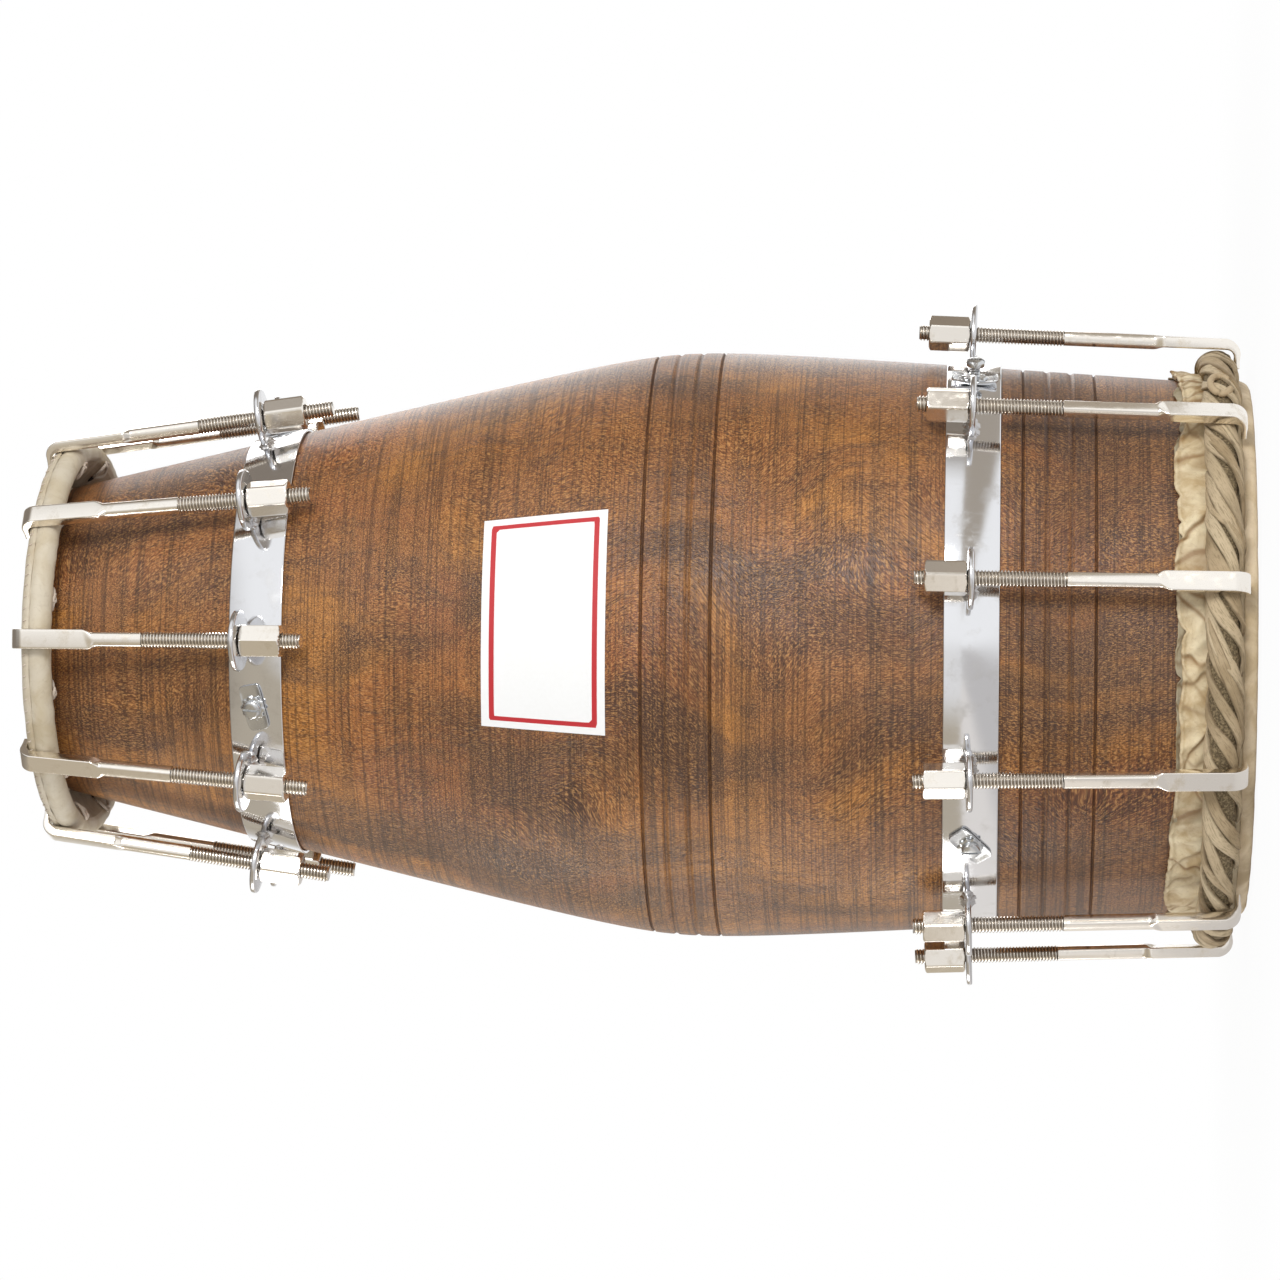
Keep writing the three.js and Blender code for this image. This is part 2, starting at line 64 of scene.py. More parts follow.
# %% Measures taken from the frame
mm = 0.001
shell_low, shell_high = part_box("shell")
shell_bottom = shell_low.z
shell_top = shell_high.z
bass_edge = 103.7 * mm
treble_edge = 59.9 * mm
belly = 118.1 * mm
belly_height = shell_bottom + 220.3 * mm
belly_rounding = 8 * mm
seat_gap = 0.3 * mm
skin_thick = 1.5 * mm
rim_thick = 1.6 * mm
treble_belt = shell_top - 85.3 * mm
bass_belt = 107 * mm
hoop_tilt = np.tan(np.radians(4))
white = (1, 1, 1, 1)


def shell_radius(height):
    """The two straight tapers cross at the belly, and a hyperbola rounds the corner between them."""
    height = np.asarray(height, float)
    lower = bass_edge + (belly - bass_edge) * (height - shell_bottom) / (belly_height - shell_bottom)
    upper = treble_edge + (belly - treble_edge) * (shell_top - height) / (shell_top - belly_height)
    return (lower + upper - np.hypot(lower - upper, belly_rounding)) / 2


print("shell from", round(shell_bottom / mm, 2), "to", round(shell_top / mm, 2), "mm, belly radius",
      round(float(shell_radius(belly_height)) / mm, 2), "mm")

# %% [markdown]
# ## The camera
# The photograph was taken with a long lens from in front of the drum, a little from the bass side, with the
# drum lying across the picture. The drum stands upright here, so the camera is rolled by a quarter turn
# instead. Its distance comes from how much the near hooks shift against the rim behind them.

# %% Camera
camera_distance = 2133 * mm
look_up = np.radians(3.7)
roll = np.radians(-0.49)
photo_pixels = 1280
pixel_size = 0.395 * mm
seen_width = photo_pixels * pixel_size
aim = np.array([1.55 * mm, 0, 238 * mm])

toward_camera = np.array([0, -np.cos(look_up), -np.sin(look_up)])
level_right = np.array([0, np.sin(look_up), -np.cos(look_up)])
level_up = np.array([1.0, 0, 0])
picture_right = np.cos(roll) * level_right - np.sin(roll) * level_up
picture_up = np.cos(roll) * level_up + np.sin(roll) * level_right

camera_data = bpy.data.cameras.new("camera")
camera_data.sensor_width = 36
camera_data.lens = camera_data.sensor_width * camera_distance / seen_width
camera = bpy.data.objects.new("camera", camera_data)
bpy.context.scene.collection.objects.link(camera)
place = np.eye(4)
place[:3, 0], place[:3, 1], place[:3, 2] = picture_right, picture_up, toward_camera
place[:3, 3] = aim + camera_distance * toward_camera
camera.matrix_world = Matrix(place.tolist())
bpy.context.scene.camera = camera
bpy.context.scene.view_settings.view_transform = "Standard"
print("lens", round(camera_data.lens, 1), "mm at", np.round(place[:3, 3], 3))

# %% [markdown]
# ## Shader expressions
# A finish is easier to read as a sum than as a drawing of wires. The class below wraps one output of a
# node, and each operator on it adds a Math node, so that `1 - mask * 0.5` is written as it is thought.
# Every other node comes from one method, which sets the node's settings first and its values or links after
# them.


# %% Values and finishes
class Value:
    """An output of a shader node, on which the operators of Python work."""

    def __init__(self, finish, socket):
        self.finish = finish
        self.socket = socket

    def math(self, operation, *others):
        return self.finish.node("ShaderNodeMath", {"operation": operation}, dict(enumerate((self, *others))))

    def __add__(self, other):
        return self.math("ADD", other)

    def __sub__(self, other):
        return self.math("SUBTRACT", other)

    def __rsub__(self, other):
        return self.finish.node("ShaderNodeMath", {"operation": "SUBTRACT"}, {0: other, 1: self})

    def __mul__(self, other):
        return self.math("MULTIPLY", other)

    __radd__ = __add__
    __rmul__ = __mul__

    def within(self, low, high):
        """0 below low, 1 above high and a smooth step between them."""
        return self.finish.node("ShaderNodeMapRange", {"interpolation_type": "SMOOTHSTEP"}, {
            "Value": self, "From Min": low, "From Max": high})


class Finish:
    """A material whose Principled shader is fed by expressions."""

    def __init__(self, name, **plain):
        self.material = bpy.data.materials.new(name)
        self.material.use_nodes = True
        self.nodes = self.material.node_tree.nodes
        self.links = self.material.node_tree.links
        self.shader = self.nodes["Principled BSDF"]
        for socket, value in plain.items():
            self.shader.inputs[socket.replace("_", " ").title().replace("Ior", "IOR")].default_value = value

    def put(self, socket, value):
        if isinstance(value, Value):
            self.links.new(value.socket, socket)
        else:
            socket.default_value = value

    def node(self, kind, settings=None, values=None, output=0):
        """Adds a node: first its settings, then the values or links of its sockets."""
        made = self.nodes.new(kind)
        for name, value in (settings or {}).items():
            if name == "stops":
                self.set_stops(made.color_ramp, value)
            else:
                setattr(made, name, value)
        for name, value in (values or {}).items():
            self.put(made.inputs[name], value)
        return Value(self, made.outputs[output])

    def set_stops(self, ramp, stops):
        while len(ramp.elements) < len(stops):
            ramp.elements.new(1)
        for element, (position, colour) in zip(ramp.elements, stops):
            element.position = position
            element.color = colour

    def place(self, stretch=(1, 1, 1)):
        """Where a point lies on the drum, stretched along each axis."""
        place = self.node("ShaderNodeTexCoord", output="Object")
        return self.node("ShaderNodeVectorMath", {"operation": "MULTIPLY"}, {0: place, 1: stretch})

    def attribute(self, name):
        return self.node("ShaderNodeAttribute", {"attribute_name": name}, output="Fac")

    def noise(self, size, stretch=(1, 1, 1), detail=3.0, roughness=0.5, distortion=0.0, vector=None):
        """Noise whose blotches are about one size wide."""
        return self.node("ShaderNodeTexNoise", {"noise_dimensions": "3D"}, {
            "Vector": vector or self.place(stretch), "Scale": 1 / size, "Detail": detail,
            "Roughness": roughness, "Distortion": distortion})

    def mix(self, factor, first, second):
        """Goes from the first colour to the second as the factor rises."""
        made = self.nodes.new("ShaderNodeMix")
        made.data_type = "RGBA"
        for socket, value in ((0, factor), (6, first), (7, second)):
            self.put(made.inputs[socket], value)
        return Value(self, made.outputs[2])

    def layered(self, colour, *layers):
        """Lays colours over the first one in their order, each where its own mask is high."""
        for mask, tint in layers:
            colour = self.mix(mask, colour, tint)
        return colour

    def give(self, socket, value):
        self.put(self.shader.inputs[socket], value)

    def bump(self, height, depth, strength):
        """Raises the surface by the height times a depth in metres."""
        self.give("Normal", self.node("ShaderNodeBump", {}, {
            "Height": height, "Distance": depth, "Strength": strength}))


def srgb(red, green, blue):
    """A colour as a picture shows it, from 0 to 255, turned to the light that the shader works in."""
    shown = np.array([red, green, blue]) / 255
    light = np.where(shown <= 0.04045, shown / 12.92, ((shown + 0.055) / 1.055) ** 2.4)
    return (*light.tolist(), 1.0)


print("a picture's middle grey is", round(srgb(128, 128, 128)[0], 3), "of full light")

# %% [markdown]
# ## The studio
# The photograph has a white ground and soft light from the top of the picture, which is the drum's +X side,
# and from in front. Three area lamps light the wood softly. The white ground is what camera rays find in
# the world and on the floor, so that no extra light falls on the drum, and the floor still shows its
# shadow. Rays from polished metal find a room of light and dark parts instead, which gives the belts and
# rods their bands.

# %% Floor, lamps and world
def ray_kinds(finish):
    """Whether a ray comes straight from the camera, and whether it comes from a mirror or through glass."""
    path = finish.nodes.new("ShaderNodeLightPath")
    camera_ray, mirror_ray, glass_ray = (
        Value(finish, path.outputs[f"Is {kind} Ray"]) for kind in ("Camera", "Glossy", "Transmission"))
    return camera_ray, mirror_ray.math("MAXIMUM", glass_ray)


mirrored_bands = ((-560 * mm, -280 * mm, (0.60, 0.58, 0.57, 1)),
                  (-90 * mm, 60 * mm, white),
                  (400 * mm, 560 * mm, (0.42, 0.37, 0.31, 1)))
shadow_share = 0.05


def floor_material():
    """Pale and matt to light, white to the camera but for the shadow, and in bands of grey to mirrors."""
    floor_finish = Finish("studio_floor", roughness=0.9)
    floor_finish.give("Base Color", srgb(244, 244, 244))
    by_camera, by_mirror = ray_kinds(floor_finish)
    away = floor_finish.node("ShaderNodeVectorMath", {"operation": "LENGTH"}, {0: floor_finish.place()},
                             output=1)
    up_side = floor_finish.node("ShaderNodeSeparateXYZ", {}, {0: floor_finish.place()})
    mirrored = floor_finish.layered((0.84, 0.80, 0.76, 1), *(
        (up_side.within(low, high), tone) for low, high, tone in mirrored_bands))
    glow = floor_finish.node("ShaderNodeEmission", {}, {
        "Color": floor_finish.mix(by_camera, mirrored, white), "Strength": 1.0})
    painted = 1 - shadow_share + shadow_share * away.within(150 * mm, 420 * mm)
    both = floor_finish.node("ShaderNodeMixShader", {}, {
        0: by_camera.math("MAXIMUM", by_mirror) * painted,
        1: Value(floor_finish, floor_finish.shader.outputs[0]), 2: glow})
    floor_finish.put(floor_finish.nodes["Material Output"].inputs["Surface"], both)
    return floor_finish.material


floor_half = 2.5
floor_drop = 0.4 * mm
floor_corners = ((-1, -1), (1, -1), (1, 1), (-1, 1))
floor_mesh = bpy.data.meshes.new("floor")
floor_mesh.from_pydata([(x * floor_half, y * floor_half, -floor_drop) for x, y in floor_corners],
                       [], [(0, 1, 2, 3)])
floor_mesh.materials.append(floor_material())
floor = bpy.data.objects.new("floor", floor_mesh)
bpy.context.scene.collection.objects.link(floor)


def unit(vectors):
    """Vectors divided by their own lengths."""
    return vectors / np.linalg.norm(vectors, axis=-1, keepdims=True)


def area_lamp(name, where, target, size, power):
    """A soft square lamp that looks at a point: its three axes are back, right of that, and above both."""
    data = bpy.data.lights.new(name, "AREA")
    data.size = size
    data.energy = power
    lamp = bpy.data.objects.new(name, data)
    bpy.context.scene.collection.objects.link(lamp)
    back = unit(np.array(where, float) - np.array(target, float))
    right = unit(np.cross([0, 0, 1.0], back))
    turned = np.eye(4)
    turned[:3] = np.stack([right, np.cross(back, right), back, where], 1)
    lamp.matrix_world = Matrix(turned.tolist())


middle = (0, 0, 240 * mm)
area_lamp("key_lamp", (1.0, -1.85, 0.5), middle, 0.6, 22)
area_lamp("low_lamp", (-1.95, 0.3, 0.45), middle, 1.1, 15)
area_lamp("back_lamp", (1.0, 1.9, 0.6), middle, 1.4, 14)

world = bpy.data.worlds.new("studio")
world.use_nodes = True
bpy.context.scene.world = world


class Studio(Finish):
    """The world's own nodes, with the same expressions as a finish."""

    def __init__(self, tree):
        self.nodes = tree.nodes
        self.links = tree.links
        self.shader = self.nodes["Background"]


studio = Studio(world.node_tree)
by_camera, by_mirror = ray_kinds(studio)
toward = studio.node("ShaderNodeTexCoord", output="Generated")
parts = studio.nodes.new("ShaderNodeSeparateXYZ")
studio.put(parts.inputs[0], toward)
up_side, behind, above = (Value(studio, parts.outputs[index]) for index in range(3))
soft_box = up_side.within(-0.1, 0.12) * (1 - behind.within(-0.3, 0.1))
soft_box = soft_box * (1 - 0.7 * up_side.within(0.93, 1.0))
backdrop = behind.within(0.78, 0.94)
front = 1 - behind.within(-0.75, -0.1)
low_side = (-1 * up_side).within(0.2, 0.6)
around_camera = 1 - behind.within(-0.97, -0.82)
room = studio.layered((0.26, 0.22, 0.18, 1),
                      (front.math("MAXIMUM", low_side), (0.50, 0.44, 0.35, 1)),
                      (around_camera, (0.84, 0.83, 0.82, 1)),
                      (soft_box.math("MAXIMUM", backdrop), white),
                      (above.within(0.55, 0.9) * 0.75, (0.2, 0.18, 0.16, 1)),
                      (by_camera, white))
soft_light = (0.52, 0.52, 0.52, 1)
studio.give("Color", studio.mix(by_camera.math("MAXIMUM", by_mirror), soft_light, room))
print("floor, three lamps and world are set")

# %% [markdown]
# ## Surfaces from arrays
# Nearly every piece of this drum is turned, drawn along a line or laid in a ring, so one kind of mesh is
# enough: a grid of points with quads between its rows and columns, which may close on themselves. The
# points are worked out for the whole grid at once. Points that fall together, as at a pole, are merged at
# the end.


# %% Grid meshes
def grid_faces(rows, columns, ring_rows=False, ring_columns=False):
    """Each quad joins a point with its neighbours in the next row and column; a ring closes on its start."""
    row = np.arange(rows if ring_rows else rows - 1)[:, None]
    column = np.arange(columns if ring_columns else columns - 1)[None, :]
    next_row = (row + 1) % rows
    next_column = (column + 1) % columns
    corners = [row * columns + column, next_row * columns + column,
               next_row * columns + next_column, row * columns + next_column]
    return np.stack([np.broadcast_to(c, (row.size, column.size)) for c in corners], -1).reshape(-1, 4)


def once_round(steps):
    """Evenly spaced angles that go round once, as a column."""
    return np.linspace(0, 2 * np.pi, steps, endpoint=False)[:, None]


def around_drum(turn, radius, height):
    """Turn, radius and height as x, y and z."""
    turn, radius, height = np.broadcast_arrays(turn, radius, height)
    return np.stack([radius * np.cos(turn), radius * np.sin(turn), height], -1)


same_point = 0.0015 * mm


def make_piece(name, parts, body, material, sharp=35, attributes=None):
    """Joins (points, faces) parts into one mesh, turns its faces outwards and lets it ride on a body."""
    points, faces, count = [], [], 0
    for part_points, part_faces in parts:
        part_points = np.asarray(part_points, float).reshape(-1, 3)
        points.append(part_points)
        faces.append(part_faces + count)
        count += len(part_points)
    points, faces = np.concatenate(points), np.concatenate(faces)
    mesh = bpy.data.meshes.new(name)
    mesh.vertices.add(len(points))
    mesh.vertices.foreach_set("co", points.astype(np.float32).ravel())
    mesh.loops.add(faces.size)
    mesh.loops.foreach_set("vertex_index", faces.astype(np.int32).ravel())
    mesh.polygons.add(len(faces))
    mesh.polygons.foreach_set("loop_start", np.arange(0, faces.size, 4, dtype=np.int32))
    mesh.update(calc_edges=True)
    for label, values in (attributes or {}).items():
        mesh.attributes.new(label, "FLOAT", "POINT").data.foreach_set(
            "value", np.asarray(values, np.float32).ravel())
    tidy = bmesh.new()
    tidy.from_mesh(mesh)
    bmesh.ops.remove_doubles(tidy, verts=tidy.verts, dist=same_point)
    bmesh.ops.recalc_face_normals(tidy, faces=tidy.faces)
    tidy.to_mesh(mesh)
    tidy.free()
    mesh.materials.append(material)
    mesh.polygons.foreach_set("use_smooth", np.ones(len(mesh.polygons), bool))
    mesh.set_sharp_from_angle(angle=np.radians(sharp))
    piece = bpy.data.objects.new(name, mesh)
    bpy.context.scene.collection.objects.link(piece)
    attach(piece, body)
    return piece


def turn_round(radii, heights, steps, sway=0.0):
    """A closed outline of radii and heights turned about the z axis; sway moves the points in or out."""
    points = around_drum(once_round(steps), np.asarray(radii)[None, :] + sway, np.asarray(heights)[None, :])
    return points, grid_faces(steps, len(radii), ring_rows=True, ring_columns=True)


def ripple(turn, height, waves, seed, count=14, tall=0.0):
    """A sum of sine waves, each a whole number to the turn, so that it closes; mostly from -1 to 1."""
    chance = np.random.default_rng(seed)
    total = 0
    for _ in range(count):
        around = int(chance.integers(waves[0], waves[1] + 1))
        along = chance.uniform(-tall, tall)
        total = total + np.sin(around * turn + along * height + chance.uniform(0, 2 * np.pi))
    return total / np.sqrt(count)


def smooth(share):
    """0 below 0, 1 above 1 and an even s-curve between them."""
    share = np.clip(share, 0, 1)
    return share * share * (3 - 2 * share)


def squarer(wave, power):
    """A sine or cosine pushed towards its limits, which turns a circle into a superellipse."""
    return np.sign(wave) * np.abs(wave) ** power


print("a closed ring of 6 by 4 points has", len(grid_faces(6, 4, True, True)), "quads")

# %% [markdown]
# ## The rods' stations
# Each rod goes through a welded eye, and the joints of the frame say where the eyes are and which way the
# rods point. A station is a small set of axes there: out from the drum, sideways, and along the rod to its
# hooked end. Each eye, nut and hook is worked out in these axes and then moved to its place on the drum.


# %% Stations
def station_axes(joint):
    """The rod's direction, the outward direction square to it, and their cross product."""
    along = unit(-np.array(joint["axis"], float))
    centre = np.array(joint["pos_m"], float)
    outward = np.array([centre[0], centre[1], 0.0]) / np.hypot(centre[0], centre[1])
    across = unit(outward - along * (outward @ along))
    return {"centre": centre, "axes": np.stack([across, np.cross(along, across), along]),
            "turn": float(np.arctan2(centre[1], centre[0]))}


def at_station(station, points):
    """Points given as out, sideways and along, moved to their place on the drum."""
    return station["centre"] + np.asarray(points) @ station["axes"]


stations = {"treble": [], "bass": []}
for joint in frame["joints"]:
    if joint["type"] == "hinge":
        head, number = joint["name"].split("_")[1:3]
        stations[head].append({**station_axes(joint), "head": head, "number": number})
print("stations:", {head: len(found) for head, found in stations.items()})

# %% [markdown]
# ## Wood
# The shell is a brown hardwood with blotches of gold, red and purple-brown. Light and dark flecks and pores
# lie along the grain, which swirls, and the lathe tool left fine rings across it. Each is a noise of its
# own size and stretch, read from the place on the drum. A broad soft noise pushes the place aside first, so
# that the grain swirls. One colour is then laid over the other, each where its own noise is high. Shade is
# painted into the grooves, and the wood between them is stained a little.

# %% Wood finish
wood = Finish("wood", specular_ior_level=0.5)
swirl_size = 90 * mm
swirl = wood.node("ShaderNodeTexNoise", {"noise_dimensions": "3D"}, {
    "Vector": wood.place(), "Scale": 1 / swirl_size, "Detail": 1.5}, output="Color")
drift = wood.node("ShaderNodeVectorMath", {"operation": "MULTIPLY"}, {
    0: swirl, 1: (swirl_size, swirl_size, 40 * mm)})
grain_place = wood.node("ShaderNodeVectorMath", {"operation": "ADD"}, {0: wood.place(), 1: drift})


def along_grain(stretch):
    """The drifting place, squeezed up the drum, so that what is read there is drawn out along the grain."""
    return wood.node("ShaderNodeVectorMath", {"operation": "MULTIPLY"}, {
        0: grain_place, 1: (1, 1, stretch)})


clouds = wood.noise(50 * mm, detail=3, distortion=0.3, vector=along_grain(0.45))
warmth = wood.noise(95 * mm, (1.2, 1.2, 0.6), detail=2, distortion=0.8)
shadows = wood.noise(44 * mm, detail=3.5, roughness=0.6, distortion=0.2, vector=along_grain(0.28))
streaks = wood.noise(8 * mm, detail=4, roughness=0.65, vector=along_grain(0.16))
tool_rings = wood.noise(0.9 * mm, (0.01, 0.01, 1), detail=2, roughness=0.6)
broad_rings = wood.noise(3.6 * mm, (0.02, 0.02, 1), detail=3, roughness=0.65)
up_drum = wood.node("ShaderNodeSeparateXYZ", {}, {0: wood.place()}, output=2)
flecks = wood.noise(0.4 * mm, detail=3, roughness=0.7, distortion=0.3, vector=along_grain(0.28))
pores = wood.noise(0.6 * mm, detail=2, roughness=0.6, vector=along_grain(0.2))
groove = wood.attribute("groove")

golden = srgb(186, 122, 54)
brown = srgb(148, 93, 50)
russet = srgb(152, 88, 50)
plum = srgb(90, 58, 42)
dark = srgb(54, 32, 20)
pale = srgb(228, 172, 102)
shade_and_stain_brown = srgb(50, 33, 26)

near_bass = 1 - up_drum.within(30 * mm, 150 * mm)
open_pores = pores.within(0.56, 0.66)
wood.give("Base Color", wood.layered(
    brown,
    (clouds.within(0.42, 0.58), golden),
    (warmth.within(0.48, 0.62) * 0.65, russet),
    (shadows.within(0.45, 0.65) * 0.9, plum),
    (streaks.within(0.5, 0.64) * 0.55, plum),
    (near_bass * 0.4, plum),
    (broad_rings.within(0.47, 0.66) * 0.4, dark),
    (flecks.within(0.5, 0.61) * 0.5, pale),
    ((1 - flecks.within(0.39, 0.5)) * 0.62, dark),
    (open_pores * 0.6, dark),
    (tool_rings.within(0.5, 0.61) * 0.5, dark),
    # painted shade in the grooves, and the stain between a group's cuts
    (groove * 0.62, shade_and_stain_brown)))
wood.give("Roughness", 0.26 + 0.24 * flecks + groove * 0.2)
wood.bump(tool_rings * 0.5 + flecks - open_pores * 0.5, 0.2 * mm, 0.8)
print("wood finish with", len(wood.nodes), "nodes")

# %% [markdown]
# ## The shell
# A lathe gave the shell its shape, so here it is a profile turned about the axis. The profile follows both
# tapers, dips into eight cut grooves, and comes back down the bore, which is closed to the eye but gives
# the wall its thickness. The outer pair of each group of grooves is narrow and deep, and the pair between
# them is broad and shallow. How much shade is painted into each ring of points, and the stain between a
# group's cuts, go along as an attribute, which the wood finish reads.

# %% Shell
wall = 11 * mm
# each kind of cut: its width, its depth and how much shade is painted into it
sharp_cut = (1.6 * mm, 0.9 * mm, 0.9)
soft_cut = (3.0 * mm, 0.6 * mm, 0.6)
groove_groups = [shell_bottom + np.array([56.8, 66.0, 75.2, 84.4]) * mm,
                 belly_height + np.array([-19.4, -10.7, -2.0, 6.7]) * mm]
groove_cuts = [(centre, *cut) for group in groove_groups
               for centre, cut in zip(group, (sharp_cut, soft_cut, soft_cut, sharp_cut))]
stain_shade = 0.24
stain_fade = 1.5 * mm


def groove_depth(height):
    """A rounded V at each cut, and the shade painted into it; between a group's cuts the wood is stained a
    little dark.
    """
    depth = 0 * height
    shade = 0 * height
    for centre, width, deep, painted_shade in groove_cuts:
        dip = smooth(1 - np.abs(height - centre) / (width / 2))
        depth = depth + deep * dip
        shade = shade + painted_shade * dip
    for group in groove_groups:
        inside = smooth((height - group[0]) / stain_fade) * smooth((group[-1] - height) / stain_fade)
        shade = np.maximum(shade, stain_shade * inside)
    return depth, shade


shell_rows, groove_rows, bore_rows = 170, 17, 24
heights = [np.linspace(shell_bottom, shell_top, shell_rows)]
heights += [centre + width * np.linspace(-0.55, 0.55, groove_rows) for centre, width, _, _ in groove_cuts]
heights = np.unique(np.concatenate(heights))
bore_heights = np.linspace(shell_top, shell_bottom, bore_rows)
outline_heights = np.concatenate([heights, bore_heights])
groove_dip, cut_shade_and_stain = groove_depth(heights)
outline_radii = np.concatenate([shell_radius(heights) - groove_dip, shell_radius(bore_heights) - wall])
rim_round = 0.8 * mm
outline_radii[0] -= rim_round
outline_radii[len(heights) - 1] -= rim_round
shell_steps = 240
shell_part = turn_round(outline_radii, outline_heights, shell_steps)
groove_shade = np.concatenate([cut_shade_and_stain, 0 * bore_heights])
shell = make_piece("turned_shell", [shell_part], "drum", wood.material, sharp=50,
                   attributes={"groove": np.tile(groove_shade, shell_steps)})
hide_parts("shell")
print("shell:", len(shell.data.polygons), "faces")

# %% [markdown]
# ## Metals
# The belts are chromed and the hooks and nuts are nickelled, which is a warmer white. Both are metals with
# a gloss that is a little uneven: faint brush marks and cloudy patches. An attribute lays painted shade in
# the roots of the threads and dirt on the eyes and the welds. The screws are plain zinc, and the iron hoops
# inside the heads are dull and brown.


# %% Metal finishes
root_shade_and_dirt = srgb(104, 86, 64)


def metal(name, colour, grime, gloss, rough, wear_size):
    """A metal whose roughness goes from gloss to rough with cloudy wear, and whose dull places are grimy."""
    finish = Finish(name, metallic=1.0)
    cloud = finish.noise(wear_size, detail=4, roughness=0.6)
    scratch = finish.noise(1.2 * mm, (1, 1, 0.12), detail=3, roughness=0.7)
    dull = cloud.within(0.5, 0.75)
    root = finish.attribute("root")
    # the root attribute lays painted shade in the thread roots and dirt on the eyes and welds
    finish.give("Base Color", finish.layered(colour, (dull * 0.4, grime), (root * 0.7, root_shade_and_dirt)))
    finish.give("Roughness", gloss + dull * (rough - gloss) + scratch.within(0.5, 0.8) * 0.06 + root * 0.3)
    finish.bump(scratch * 0.4 + cloud, 0.03 * mm, 0.35)
    return finish


chrome = metal("belt_chrome", srgb(232, 233, 236), srgb(205, 203, 200), 0.09, 0.22, 9 * mm)
nickel = metal("hook_nickel", srgb(247, 242, 234), srgb(212, 198, 174), 0.12, 0.26, 6 * mm)
zinc = metal("screw_zinc", srgb(212, 214, 216), srgb(150, 148, 144), 0.2, 0.38, 3 * mm)
iron = metal("hoop_iron", srgb(120, 112, 104), srgb(84, 66, 52), 0.45, 0.7, 5 * mm)
print("metals:", [finish.material.name for finish in (chrome, nickel, zinc, iron)])

# %% [markdown]
# ## Belts
# A belt is a steel band bent into a ring on the taper, with its edges a little rounded so that they catch
# the light. Ten washers are welded to it edge-on. Each weld was run by hand, so its bead is lumpy: it is a
# fillet that hollows from the band up to both faces of the washer, a bit different every time.

# %% Belt bands
belt_width = 21 * mm
belt_thickness = 1.5 * mm
belt_edge = 0.5 * mm
belt_dent = 0.04 * mm
belt_steps = 300
belt_heights = {"treble": treble_belt, "bass": bass_belt}


def belt_outer(head, height):
    """The band's outer radius: straight from the shell's radius at one edge to the other, plus the band."""
    middle = belt_heights[head]
    low, high = shell_radius(middle - belt_width / 2), shell_radius(middle + belt_width / 2)
    return low + (high - low) * (height - middle + belt_width / 2) / belt_width + seat_gap + belt_thickness


def rounded_bar(length, thick, radius, steps=4):
    """The outline of a bar's section with quarter circles at its four corners, round its middle."""
    corner = np.linspace(0, np.pi / 2, steps + 1)
    along, out = [], []
    for quarter in range(4):
        sign_along = (1, -1, -1, 1)[quarter]
        sign_out = (1, 1, -1, -1)[quarter]
        along.append(sign_along * (length / 2 - radius) + radius * np.cos(corner + quarter * np.pi / 2))
        out.append(sign_out * (thick / 2 - radius) + radius * np.sin(corner + quarter * np.pi / 2))
    return np.concatenate(along), np.concatenate(out)


def band_part(head):
    """The rounded bar section, laid along the taper and turned round the drum."""
    along, out = rounded_bar(belt_width, belt_thickness, belt_edge)
    height = belt_heights[head] + along
    dents = belt_dent * ripple(once_round(belt_steps), 0, (6, 40), 5)
    return turn_round(belt_outer(head, height) - belt_thickness / 2 + out, height, belt_steps, dents)


for head, height in belt_heights.items():
    print(head, "belt: outer radius", round(float(belt_outer(head, height)) / mm, 1), "mm")

# %% Welded eyes
eye_radius = 11.8 * mm
eye_thickness = 2.2 * mm
eye_bore = 3.6 * mm
eye_edge = 0.75 * mm
eye_steps = 72
weld_reach = 3.0 * mm
weld_rise = 2.6 * mm
weld_half_run = 7.2 * mm
weld_sink = 0.35 * mm
weld_body = 0.6 * mm
weld_overlap = 0.15 * mm
washer_skin = 0.05 * mm
eye_dirt, weld_dirt = 0.2, 0.55


def eye_part(station):
    """A washer: its rounded section is carried round the rod's axis."""
    across, along = rounded_bar(eye_radius - eye_bore, eye_thickness, eye_edge)
    points, faces = turn_round((eye_radius + eye_bore) / 2 + across, along, eye_steps)
    return at_station(station, points), faces


def weld_part(station, seed):
    """A lumpy fillet on both faces of the washer's foot: its height and reach swell along the bead."""
    chance = np.random.default_rng(seed)
    run = np.linspace(-1, 1, 41)[:, None]
    swell = 1 + 0.16 * np.sin(run * chance.uniform(7, 11) + chance.uniform(0, 6))
    swell = swell + 0.1 * np.sin(run * 19 + seed)
    fade = np.sqrt(np.clip(1 - run ** 2, 0, 1))
    side = np.linspace(-1, 1, 25)[None, :]
    reach = weld_reach * chance.uniform(0.8, 1.15) * swell * fade + eye_thickness / 2
    rise = weld_rise * chance.uniform(0.8, 1.2) * swell * fade
    level = eye_thickness / 2 + washer_skin
    past_washer = np.abs(side) * reach - level * (np.abs(side) > 0)
    beside = np.clip(past_washer / np.maximum(reach - level, 1e-6), 0, 1)
    lift = rise * (1 - beside) ** 1.9 - weld_sink * (np.abs(side) > 0.99)
    centre = station["centre"]
    eye_distance = np.hypot(centre[0], centre[1])
    direction = station["axes"][2]
    rod_out = direction[0] * np.cos(station["turn"]) + direction[1] * np.sin(station["turn"])
    foot = belt_outer(station["head"], centre[2]) + lift
    level_height = centre[2] - (foot - eye_distance) * rod_out / direction[2]
    height = level_height + side * reach
    radius = belt_outer(station["head"], height) - weld_overlap + lift
    turn = station["turn"] + run * weld_half_run / eye_distance
    inner = around_drum(turn, radius - weld_body, height)
    loop = np.concatenate([around_drum(turn, radius, height), inner[:, ::-1]], 1)
    return loop, grid_faces(*loop.shape[:2], ring_columns=True)


